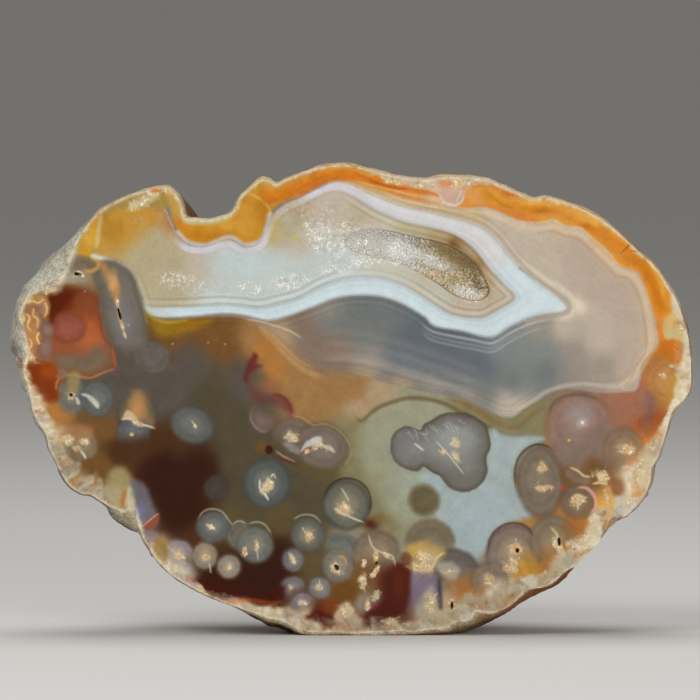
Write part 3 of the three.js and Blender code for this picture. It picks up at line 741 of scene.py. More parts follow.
# Tubes that the cut crosses: place, radii, tilt, colours of edge, body and middle, the middle's share of the
# radius, and the direction in which the tube melts into its surroundings.
TUBES = [
    ((80, 272), (20, 17), 10, (98, 88, 74), (116, 106, 90), (124, 114, 98), 0.5, 90),
    ((86, 300), (24, 18), 0, (112, 96, 80), (120, 104, 88), (124, 106, 90), 0.5, -90),
    ((152, 357), (20, 17), 20, (84, 78, 70), (96, 91, 84), (104, 100, 96), 0.8, None),
    ((72, 396), (15, 19), 0, (104, 98, 82), (104, 108, 104), (122, 124, 116), 0.6, None),
    ((97, 399), (17, 19), -15, (72, 74, 70), (90, 98, 99), (116, 122, 120), 0.6, None),
    ((82, 446), (17, 16), 0, (100, 84, 58), (128, 116, 92), (150, 138, 110), 0.6, None),
    ((137, 414), (21, 21), 0, (76, 70, 56), (84, 82, 72), (120, 112, 84), 0.6, None),
    ((134, 433), (18, 19), 0, (70, 68, 60), (82, 89, 96), (106, 114, 123), 0.7, 90),
    ((192, 425), (24, 19), 22, (64, 64, 58), (88, 94, 94), (120, 125, 122), 0.6, None),
    ((216, 488), (13, 14), 0, (58, 48, 38), (66, 58, 54), (74, 66, 62), 0.7, None),
    ((267, 483), (25, 26), 0, (60, 60, 54), (76, 86, 88), (118, 126, 116), 0.6, None),
    ((213, 527), (18, 17), 0, (76, 74, 66), (90, 96, 98), (128, 132, 130), 0.6, None),
    ((240, 536), (14, 15), 0, (88, 84, 68), (102, 102, 92), (116, 116, 106), 0.6, None),
    ((255, 545), (20, 19), 30, (80, 80, 70), (104, 110, 106), (138, 140, 130), 0.6, None),
    ((178, 556), (17, 17), 0, (118, 104, 104), (146, 140, 150), (182, 176, 170), 0.6, 100),
    ((205, 556), (14, 15), 0, (106, 90, 68), (140, 134, 122), (178, 166, 142), 0.6, None),
    ((229, 567), (13, 13), 0, (104, 94, 82), (140, 138, 128), (176, 170, 152), 0.6, None),
    ((308, 535), (18, 18), 0, (70, 70, 60), (86, 92, 90), (146, 144, 124), 0.62, None),
    ((293, 560), (12, 13), 0, (82, 78, 78), (106, 110, 116), (142, 144, 142), 0.6, None),
    ((293, 590), (14, 15), 0, (94, 84, 88), (120, 120, 130), (150, 148, 148), 0.6, 70),
    ((304, 604), (14, 12), 20, (98, 86, 98), (124, 116, 132), (150, 142, 150), 0.6, 60),
    ((320, 588), (12, 12), 0, (84, 78, 74), (116, 120, 124), (150, 152, 148), 0.6, None),
    ((341, 548), (19, 16), 0, (88, 86, 70), (98, 106, 100), (112, 118, 112), 0.6, 90),
    ((338, 566), (17, 19), -10, (90, 84, 74), (114, 114, 106), (156, 150, 132), 0.6, None),
    ((346, 505), (25, 26), 0, (50, 48, 38), (90, 96, 92), (150, 146, 118), 0.62, None),
    ((263, 417), (16, 17), 0, (90, 70, 62), (104, 88, 80), (122, 108, 104), 0.7, -60),
    ((291, 440), (21, 24), 20, (100, 80, 66), (112, 98, 88), (132, 120, 112), 0.6, 120),
    ((322, 446), (29, 24), 15, (92, 78, 60), (110, 100, 90), (134, 124, 118), 0.6, None),
    ((424, 500), (16, 17), -30, (92, 84, 60), (98, 88, 60), (104, 94, 66), 0.8, None),
    ((430, 545), (26, 27), 0, (100, 88, 68), (114, 104, 86), (118, 108, 90), 0.8, 90),
    ((455, 572), (25, 24), 20, (64, 58, 52), (96, 90, 84), (120, 112, 110), 0.6, 80),
    ((490, 582), (20, 21), 0, (104, 88, 70), (130, 118, 102), (166, 150, 132), 0.6, 80),
    ((514, 554), (29, 31), 0, (88, 70, 62), (120, 111, 104), (176, 156, 128), 0.55, 75),
    ((554, 541), (25, 27), -15, (100, 88, 72), (122, 112, 94), (152, 140, 112), 0.5, 60),
    ((540, 482), (24, 38), -4, (84, 68, 56), (116, 107, 96), (134, 124, 106), 0.6, None),
    ((580, 426), (36, 34), 0, (122, 92, 74), (136, 110, 98), (156, 132, 124), 0.6, 60),
    ((624, 450), (22, 24), 0, (112, 86, 62), (128, 108, 88), (158, 138, 108), 0.6, 70),
    ((578, 502), (18, 18), 0, (88, 70, 52), (116, 100, 80), (150, 128, 98), 0.5, None),
    ((666, 381), (21, 24), 0, (166, 108, 50), (178, 122, 66), (190, 144, 88), 0.6, 20),
    ((376, 552), (24, 22), -10, (88, 72, 54), (118, 108, 92), (158, 140, 118), 0.6, 90),
]
TALL_TUBE = [
    (98, 262), (112, 260), (128, 267), (137, 280), (142, 298), (146, 318), (149, 338), (142, 350), (128, 350),
    (114, 346), (106, 330), (102, 310), (98, 290), (92, 276),
]
TWIN_TUBE = [
    (390, 447), (392, 436), (400, 428), (411, 427), (420, 430), (424, 424), (433, 419), (441, 414),
    (452, 412), (465, 413), (478, 418), (487, 427), (491, 440), (490, 450), (487, 459), (488, 468),
    (484, 480), (477, 488), (466, 492), (455, 490), (446, 484), (440, 477), (431, 472), (424, 467),
    (417, 472), (408, 470), (398, 465), (392, 457),
]


def inset(ring, depth):
    """The same outline, drawn in towards its inside."""
    ring = np.array(ring, float)
    step = np.roll(ring, -1, 0) - np.roll(ring, 1, 0)
    return ring + np.stack([-step[:, 1], step[:, 0]], 1) / np.hypot(step[:, 0], step[:, 1])[:, None] * depth


WINDOW = [
    (492, 430), (504, 436), (520, 436), (543, 437), (536, 444), (524, 448), (516, 460), (514, 480),
    (520, 496), (532, 510), (534, 516), (520, 520), (504, 524), (492, 534), (486, 550), (474, 559),
    (462, 554), (454, 546), (450, 530), (436, 516), (438, 500), (428, 486), (420, 476), (440, 470),
    (470, 480), (488, 462),
]


def paint_window(paint):
    """The pale blue pane, which melts into the green ground at its left."""
    paint.spot((430, 486), (30, 22), (150, 160, 146), 0.9, 0.8)
    paint.area(WINDOW, (156, 169, 170), 4, 0.95)
    paint.spot((500, 452), (22, 16), (158, 170, 170), 0.9, 0.6)
    paint.spot((482, 520), (22, 24), (158, 174, 178), 0.9, 0.8)
    paint.spot((446, 500), (12, 18), (158, 170, 166), 0.9, 0.6)


def paint_tubes(paint):
    for tube in TUBES:
        paint.tube(*tube)


def paint_upper_left(paint):
    area, line, spot, core = paint.area, paint.line, paint.spot, paint.core
    # The ochre corner and the pale line beside it.
    area([(80, 218), (96, 206), (101, 214), (98, 238), (94, 252), (84, 252), (74, 246)], (186, 138, 46), 3)
    area([(100, 214), (110, 206), (130, 197), (150, 192), (166, 194), (174, 206), (162, 210), (140, 207),
        (120, 209), (106, 216)], (156, 130, 66), 2.5, 0.95)
    spot((91, 238), (8, 9), (204, 158, 66), 0.7)
    spot((93, 222), (4, 3), ORANGE, 0.6, 0.7)
    area([(62, 262), (70, 242), (82, 226), (90, 222), (80, 240), (76, 256), (66, 276)], (176, 166, 138), 3,
        0.9)
    spot((112, 230), (10, 12), (158, 118, 44), 0.7, 0.5)
    line([(93, 256), (108, 260), (124, 266), (134, 276), (139, 290), (144, 304), (152, 312), (168, 314)],
         (198, 204, 202), 3.4, 2.6, 0.85, False)
    line([(103, 209), (100, 222), (98, 238), (95, 250)], (200, 184, 132), 2.4, 2.2, 0.7)
    line([(96, 211), (112, 201), (132, 193), (152, 188), (168, 186)], (176, 166, 120), 5, 2, 0.85, False)
    area([(128, 209), (134, 199), (146, 193), (158, 190), (159, 198), (148, 205), (136, 211)],
        (206, 186, 140), 2.4, 0.5)
    core((143, 201), (17, 7), -32, 0.25)
    core((134, 206), (7, 5), 0, 0.1)
    core((153, 194), (8, 5), -20, 0.2)
    core((167, 190), (10, 5), 10, 0.3)
    spot((155, 190), (4, 3), (204, 112, 36), 0.5)
    area([(166, 188), (178, 196), (186, 204), (188, 219), (194, 222), (188, 228), (178, 222), (170, 206)],
         (188, 150, 80), 3, 0.8)
    area([(172, 214), (186, 224), (205, 226), (226, 224), (240, 214), (262, 222), (258, 236), (246, 243),
        (230, 235), (208, 241), (190, 240), (178, 231)], (190, 130, 34), 2.5, 0.95)
    spot((182, 222), (7, 5), (198, 118, 34), 0.7, 0.7)
    spot((208, 236), (26, 5), (176, 112, 26), 0.9, 0.6)
    spot((226, 226), (14, 5), (204, 154, 66), 0.9, 0.6)
    line([(186, 220), (200, 221), (215, 220), (230, 215), (238, 207)], (184, 176, 132), 6, 2.5, 0.85, False)
    core((200, 220), (9, 3.4), 0, 0.3)
    area([(238, 200), (250, 190), (262, 186), (270, 196), (268, 212), (262, 228), (248, 238), (236, 226)],
         (188, 132, 40), 4, 0.85)
    spot((244, 222), (10, 13), (200, 146, 58), 0.8, 0.9)
    spot((263, 208), (7, 12), (178, 118, 32), 0.7, 0.9)
    line([(239, 198), (250, 186), (262, 180), (276, 184)], (184, 172, 112), 3.4, 2, 0.8, False)
    line([(246, 192), (255, 196), (266, 204), (272, 214)], (204, 166, 90), 1.6, 1.4, 0.7)
    # The pale line under it, in three waves.
    line([(178, 232), (188, 242), (206, 245), (229, 237), (246, 245), (261, 240), (267, 226), (270, 214)],
         (196, 188, 190), 3.0, 2.2, 0.8, False)
    line([(180, 238), (190, 249), (208, 250), (230, 243), (247, 251), (262, 246), (268, 232)],
        (190, 186, 190), 1.8, 1.8, 0.6)
    spot((243, 262), (28, 10), (184, 196, 198), 1.0, 0.8)
    line([(288, 236), (297, 239), (301, 244)], (188, 172, 84), 2.4, 2, 0.7)
    spot((275, 232), (6, 12), (186, 160, 88), 0.9, 0.6)
    # The left window: a glowing red pane with a pale red disc.
    area([(47, 294), (62, 289), (84, 291), (97, 297), (100, 320), (104, 340), (110, 350), (114, 367),
        (102, 371), (90, 377), (74, 374), (54, 371), (50, 350), (48, 320)], (128, 62, 28), 3.4, 0.95)
    area([(44, 292), (64, 288), (84, 294), (66, 310), (54, 330), (46, 322)], (84, 28, 4), 9, 0.95)
    spot((90, 340), (15, 20), (190, 104, 60), 1.0, 0.8)
    spot((66, 352), (20, 14), (158, 84, 52), 0.9, 0.7)
    area([(56, 356), (80, 354), (98, 346), (108, 352), (112, 366), (100, 371), (88, 376), (70, 373),
        (56, 370)], (112, 96, 76), 9, 0.95)
    spot((86, 300), (13, 10), (124, 66, 40), 0.35, 0.8)
    spot((69, 328), (17.5, 16.5), (118, 60, 42), 0.14, 0.9)
    spot((69, 328), (13, 12), (150, 86, 68), 0.8, 0.9)
    line([(97, 298), (100, 320), (104, 338), (112, 347), (114, 358), (116, 368)], (124, 60, 36), 1.6, 1.6,
        0.6, False)
    line([(112, 346), (114, 358), (116, 368)], (172, 84, 50), 2.0, 1.4, 0.8)
    line([(116, 369), (108, 371), (98, 375), (90, 378), (80, 376), (70, 374)], (172, 110, 66), 1.4, 1.2, 0.9)
    # The rim beside it: gold crumbs over brown beads, and gold ridges with painted highlights.
    area([(22, 326), (24, 300), (36, 292), (54, 284), (64, 272), (62, 290), (48, 296), (40, 306),
        (36, 330), (30, 350), (24, 356)], (162, 152, 128), 3, 0.8)
    area([(26, 300), (44, 294), (49, 304), (50, 330), (53, 350), (46, 364), (34, 366), (26, 350), (24, 322)],
         (142, 96, 66), 3, 0.9)
    for place, radii in (((42, 308), (8, 8)), ((38, 324), (8, 8)), ((47, 330), (7, 9)), ((46, 348), (8, 11))):
        spot(place, radii, (118, 86, 76), 0.2, 0.8)
        spot(place, (radii[0] * 0.6, radii[1] * 0.6), (150, 118, 106), 0.8, 0.7)
    for path in ([(28, 304), (34, 298), (44, 302)], [(25, 312), (30, 322), (28, 336), (32, 350), (30, 360)],
                 [(34, 310), (38, 320), (34, 332), (38, 344)], [(40, 296), (46, 306), (44, 316)]):
        line(path, (196, 140, 74), 5.0, 4.0, 0.6, True, True)
    ridges = [
        [(27, 306), (31, 302), (38, 304), (45, 300)], [(25, 314), (29, 318), (27, 326), (30, 333)],
        [(34, 308), (33, 316), (38, 321), (36, 329)], [(44, 303), (47, 310), (44, 318)],
        [(27, 338), (31, 344), (29, 352), (34, 358)], [(38, 332), (36, 340), (40, 346)], 
        [(33, 362), (40, 365), (47, 368)],
    ]
    # Each gold ridge gets a pale copy a little up and to the right: a painted highlight along its upper edge.
    for path in ridges:
        line(path, (186, 126, 62), 3.4, 2.0, 0.8, True, True)
        line([(x + 0.8, y - 0.8) for x, y in path], (224, 200, 156), 1.2, 0.9, 0.8, True, True)
    for place, radii, tilt in (
        ((27, 300), (6, 4), -20), ((23, 318), (3, 7), 10), ((26, 344), (3, 6), -10), ((30, 357), (5, 4), 20),
        ((28, 375), (7, 5), 20), ((50, 290), (8, 4), -20),
    ):
        core(place, radii, tilt, 0.7)
    area([(30, 366), (44, 362), (54, 368), (56, 384), (60, 398), (48, 402), (38, 392), (32, 380)],
        (122, 50, 12), 4)
    spot((48, 372), (8, 7), (158, 70, 18), 0.8, 0.7)
    # The tall tube, its orange wedge, its slit, and the small hole beside it.
    area(TALL_TUBE, (96, 88, 74), 3.2, 0.9)
    area(inset(TALL_TUBE, 5), (106, 99, 90), 4.5)
    spot((124, 312), (12, 30), (112, 108, 102), 0.9, 0.8, -10)
    spot((123, 322), (7, 16), (126, 123, 121), 0.9, 0.7, -8)
    area([(97, 261), (106, 264), (112, 276), (119, 284), (120, 298), (116, 302), (112, 292), (106, 280)],
         (178, 130, 76), 3.0, 0.85)
    spot((113, 282), (4, 10), (204, 158, 98), 0.9, 0.8)
    line([(84, 271), (91, 271), (97, 268), (99, 262)], (194, 146, 94), 3, 2, 0.85)
    core((78, 274), (7, 4), 8, 0.4)
    line([(74, 273.5), (79, 274.5)], DARK, 2.2, 0.8)
    line([(116, 296), (118, 306), (120, 318), (123, 328), (125, 337)], (206, 160, 112), 2.2, 1.4, 0.85)
    core((117.5, 303), (2.4, 5), -10, 0.9)
    core((122, 325), (2.4, 6), -14, 0.6)
    line([(117.8, 308), (119.5, 314), (121, 320)], DARK, 1.2, 0.7)
    line([(124, 332), (126, 339)], WHITE, 1.4, 1, 0.9)
    line([(118, 262), (128, 268), (136, 277), (139, 290), (143, 306), (147, 322)], (150, 140, 118), 1.4,
        1.6, 0.5, False)
    # A yellow glow where the brown meets the white band.
    area([(146, 312), (156, 319), (170, 321), (196, 319), (212, 320), (196, 328), (172, 336), (156, 332)],
         (146, 112, 22), 5, 0.85)
    line([(150, 318), (168, 322), (190, 320)], (178, 150, 56), 2.0, 2, 0.8)
    spot((192, 324), (12, 3), (150, 90, 24), 0.9, 0.6)
    for place in ((208, 342), (225, 344), (172, 344), (85, 291), (129, 325)):
        spot(place, (0.9, 1.1), PALE, 0.6, 0.55)


def paint_top_rim(paint):
    area, line, spot, core = paint.area, paint.line, paint.spot, paint.core
    line([(268, 196), (284, 192), (300, 186), (318, 177), (336, 173), (356, 174), (374, 179), (390, 186)],
         (202, 118, 26), 10, 5, 0.85, False, True)
    line([(266, 201), (284, 198), (300, 191), (318, 182), (332, 178), (352, 178), (376, 186)],
        (186, 100, 34), 4, 3, 0.6, False, True)
    line([(262, 184), (276, 188), (292, 182), (310, 174), (328, 168), (352, 167), (372, 172)],
        (196, 142, 62), 4, 3, 0.7, False, True)
    line([(286, 202), (302, 195), (318, 186), (330, 181)], (172, 108, 60), 1.6, 1.6, 0.6)
    line([(352, 172), (366, 178), (382, 185), (396, 188), (412, 189)], (178, 78, 16), 2.2, 1.6, 0.8)
    line([(370, 169), (390, 176), (410, 182), (430, 184), (446, 179), (470, 179), (488, 181)],
        (196, 178, 156), 7, 3, 0.8, False, True)
    core((393, 181), (14, 5), 12, 0.5)
    core((420, 186), (16, 4), 4, 0.4)
    line([(412, 190), (430, 193), (440, 196)], (196, 106, 36), 2.6, 2, 0.8)
    for k, colour in enumerate(((206, 176, 130), (188, 150, 104), (206, 182, 146))):
        y = 183 + 4.4 * k
        line([(348, y - 3), (376, y + 3), (400, y + 9), (424, y + 14), (444, y + 16)], colour, 1.8, 1.6, 0.6)
    area([(440, 178), (452, 174), (470, 177), (474, 184), (464, 196), (460, 203), (448, 204), (440, 196),
        (436, 188)], (196, 162, 142), 2, 0.85)
    core((456, 182), (20, 6), 4, 0.6)
    spot((446, 184), (6, 4), (206, 132, 82), 0.7, 0.8)
    line([(438, 192), (444, 202), (454, 205), (461, 202), (465, 194)], (214, 200, 190), 1.5, 1.2, 0.9)
    line([(462, 190), (458, 198), (456, 203)], (214, 204, 196), 1.0, 1.0, 0.7)
    area([(466, 190), (478, 188), (488, 190), (494, 200), (486, 205), (470, 204)], (206, 146, 74), 3, 0.9)
    # The orange band down the right side, lobed on its inner side.
    band = [(488, 194), (500, 200), (516, 204), (540, 207), (556, 208), (576, 216), (596, 228), (610, 241),
        (624, 252), (642, 263), (652, 277), (659, 292), (662, 306)]
    line(band, (206, 136, 34), 12, 4, 0.95, False, True)
    line([(x - 2, y + 4) for x, y in band[2:]], (188, 104, 16), 3.6, 3.0, 0.85, True, True)
    line([(x + 3, y - 4) for x, y in band[1:]], (216, 172, 78), 3.4, 3.0, 0.8, True, True)
    line([(x - 1, y + 1) for x, y in band[5:]], (178, 98, 20), 1.4, 1.6, 0.7, True, True)
    line([(490, 191), (502, 197), (520, 201), (545, 202), (562, 205), (582, 214), (598, 224)],
        (210, 150, 66), 5, 3, 0.7, False, True)
    line([(486, 190), (494, 198), (504, 205), (516, 209)], (190, 112, 38), 1.6, 1.6, 0.7)
    spot((508, 194), (6, 3), (186, 92, 28), 0.8, 0.7)
    lobes = [((578, 218), (12, 6)), ((604, 238), (12, 8)), ((622, 250), (14, 9)), ((560, 214), (12, 5))]
    for place, radii in lobes:
        spot(place, radii, (212, 146, 62), 0.8, 0.6)
    line([(600, 230), (614, 240), (630, 252), (642, 262), (652, 278), (658, 296), (662, 312)],
        (200, 116, 14), 6, 4, 0.9, False, True)
    line([(500, 214), (520, 221), (540, 223), (553, 220), (566, 227), (580, 228), (592, 238), (608, 252),
        (618, 264), (636, 270)], (206, 176, 146), 1.8, 1.4, 0.8)
    line([(534, 194), (548, 196), (566, 202), (584, 208), (600, 216), (614, 227)], (188, 178, 138), 3.4, 2,
        0.8, False, True)
    line([(606, 219), (622, 231), (636, 243), (648, 254), (660, 268)], (196, 184, 144), 3.4, 2.2, 0.8,
        False, True)
    area([(628, 244), (634, 240), (644, 250), (646, 258), (634, 254)], (206, 172, 112), 1.5, 0.85)
    line([(632, 238), (628, 246), (620, 254)], (122, 76, 14), 1.0, 0.8, 0.8)
    line([(630, 251), (644, 253), (644, 262)], (140, 84, 18), 1.0, 0.8, 0.8)
    area([(645, 256), (654, 258), (664, 272), (660, 275), (650, 266)], (222, 190, 100), 1.5, 0.9)
    spot((658, 270), (3, 2), (236, 180, 40), 0.6)
    area([(670, 288), (676, 296), (684, 316), (690, 340), (691, 362), (684, 352), (679, 330), (672, 312)],
         (200, 190, 164), 2.5, 0.9)
    area([(664, 322), (672, 312), (680, 322), (682, 338), (670, 341), (664, 334)], (206, 168, 104), 1.6, 0.9)
    spot((671, 333), (4, 5), (190, 178, 132), 0.7)
    core((681, 328), (4, 5), 0, 0.4)
    area([(662, 342), (681, 341), (680, 364), (664, 356), (652, 354)], (190, 106, 22), 2, 0.9)
    line([(640, 372), (646, 360), (656, 350), (661, 344)], (190, 140, 84), 1.6, 1.4, 0.8)
    for place in ((664, 376), (682, 377), (678, 392), (671, 366)):
        core(place, (3.4, 3), 0, 0.7)


def paint_left_tubes(paint):
    area, line, spot, core = paint.area, paint.line, paint.spot, paint.core
    line([(56, 392), (57, 382), (63, 376), (74, 375), (86, 380)], (160, 142, 104), 1.2, 1, 0.7)
    tube_ring = [(60, 369), (66, 371), (67, 377), (62, 379), (56, 376)]
    area(tube_ring, (134, 104, 84), 1.4, 0.8)
    area([(68, 374), (80, 374), (79, 386), (76, 394), (69, 394)], (150, 130, 82), 2.6, 0.8)
    core((71, 395), (5, 5), 0, 0.9, True)
    line([(76, 397), (78, 402), (79, 405)], WHITE, 2.6, 1.4, 0.8)
    line([(80, 394), (88, 396), (94, 402), (98, 408)], (196, 192, 180), 2.8, 1.2, 0.9)
    area([(86, 396), (93, 397), (99, 405), (98, 409), (92, 404)], (196, 192, 178), 1.2, 0.8)
    area([(60, 436), (66, 428), (80, 424), (92, 428), (92, 438), (78, 444), (64, 446)], (162, 118, 76), 4,
        0.7)
    core((68, 440), (8, 6), 0, 0.35)
    core((84, 442), (8, 5), 10, 0.35)
    core((77, 448), (6, 4), 10, 0.9)
    line([(80, 450), (84, 455), (86, 459)], WHITE, 2.0, 1, 0.9)
    area([(127, 404), (132, 392), (140, 390), (148, 398), (150, 412), (154, 426), (140, 421), (124, 418)],
         (152, 116, 72), 5, 0.7)
    spot((138, 408), (6, 11), (196, 140, 84), 0.9, 0.8)
    area([(124, 416), (128, 410), (134, 414), (138, 420), (128, 419), (121, 420)], (204, 186, 146), 1.4, 0.85)
    line([(121, 419), (130, 419), (140, 424), (148, 426), (156, 429)], (206, 196, 170), 1.8, 1, 0.9)
    core((137, 423), (7, 4), 25, 0.9)
    spot((132, 434), (1.8, 1.8), (206, 180, 116), 0.5)
    line([(191, 420), (194, 424), (197, 429)], (200, 176, 140), 1.1, 0.8, 0.8)
    core((195, 426), (2.6, 2.2), 40, 0.9)
    core((267, 486), (8, 10), 10, 0.4)
    line([(260, 478), (260, 488), (266, 496), (269, 501)], WHITE, 1.8, 1, 0.9)
    core((263, 491), (3, 4), 0, 0.9)
    line([(271, 478), (273, 474), (276, 479)], WHITE, 1.3, 0.8, 0.9)
    core((211, 527), (6, 3), 35, 0.1)
    for arc in ([(197, 521), (203, 512), (212, 509), (222, 512), (230, 522), (233, 526)],
                [(232, 525), (239, 521), (247, 524)], [(247, 525), (256, 522), (265, 525), (272, 535)],
                [(293, 520), (302, 515), (314, 516), (322, 524)]):
        line(arc, (160, 158, 146), 1.3, 1.0, 0.75)
    for place, radii, tilt, warm in (
        ((245, 551), (3, 6), -10, 0.9), ((257, 545), (3, 6), 0, 0.9), ((179, 557), (9, 5), 35, 0.8),
        ((206, 557), (5, 5), 0, 0.8), ((229, 567), (4, 5), 0, 0.9), ((308, 536), (5, 8), -25, 0.8),
        ((293, 560), (3, 9), -32, 0.3), ((291, 588), (4, 4), 0, 0.8), ((303, 603), (7, 4), 15, 0.7),
        ((320, 588), (5, 4), 0, 0.7), ((344, 509), (9, 8), 0, 0.5), ((341, 513), (4, 3), 0, 1.0),
    ):
        core(place, radii, tilt, warm)
    line([(257, 548), (258, 561)], PALE, 1.2, 0.8, 0.7)
    line([(164, 542), (170, 549), (178, 553)], (190, 174, 134), 2.6, 1.6, 0.7)
    line([(209, 562), (211, 574)], PALE, 1.3, 0.8, 0.8)
    line([(302, 527), (306, 534)], PALE, 1.2, 0.8, 0.8)
    core((336, 569), (5, 10), -32, 0.3)
    spot((336.5, 568), (1.7, 3.0), DARK, 0.3, tilt=-30)
    line([(338, 556), (344, 558), (347, 565)], (196, 150, 96), 2.0, 1.2, 0.8)
    line([(341, 488), (345, 494), (350, 503)], PALE, 1.3, 0.9, 0.9)
    line([(333, 508), (340, 512), (350, 517), (367, 524)], (206, 192, 164), 1.4, 0.9, 0.95)
    line([(324, 500), (329, 487), (341, 479), (356, 480), (367, 489), (371, 503), (368, 518)],
        (40, 34, 26), 1.2, 1.4, 0.7)
    # The three joined tubes.
    line([(250, 412), (252, 422), (260, 431), (268, 432)], (140, 122, 114), 1.2, 1.2, 0.6)
    line([(292, 415), (304, 419), (313, 425), (324, 424), (337, 429), (347, 440), (351, 453), (346, 464)],
         (160, 132, 88), 1.1, 1, 0.7, False)
    core((292, 437), (9, 6), 20, 0.3)
    core((293, 439), (4, 3), 30, 1.0)
    area([(283, 443), (290, 443), (298, 447), (299, 454), (290, 451)], (146, 138, 138), 1.8, 0.7)
    area([(300, 452), (304, 443), (311, 439), (321, 437), (323, 444), (330, 446), (335, 453), (330, 450),
        (322, 447), (314, 446), (306, 446)], (196, 192, 182), 1.1, 0.9)
    for place in ((307, 451), (315, 448), (321, 446), (328, 448)):
        core(place, (3.4, 2.6), 0, 1.0)
    # The maroon streaks above them, and the dark red spot below.
    area([(254, 353), (258, 356), (256, 364), (262, 366), (252, 372), (247, 384), (244, 378), (247, 364)],
         (104, 36, 32), 2.2, 0.8)
    area([(248, 376), (256, 388), (270, 394), (284, 397), (292, 406), (292, 416), (282, 410), (268, 404),
        (252, 400)], (98, 56, 54), 4, 0.75)
    line([(272, 394), (281, 396), (289, 404), (293, 414)], (118, 38, 38), 2.2, 1.8, 0.8)
    spot((267, 386), (12, 7), (146, 94, 58), 0.9, 0.6)
    spot((262, 447), (6, 5), (112, 74, 24), 0.9, 0.8)
    area([(266, 446), (271, 446), (273, 451), (269, 454), (265, 451)], (58, 10, 6), 1.2, 0.95)
    line([(275, 450), (283, 456), (297, 463)], (176, 138, 102), 1.2, 1, 0.8)
    line([(270, 454), (284, 460), (300, 465)], (84, 42, 40), 2.2, 1.6, 0.8)


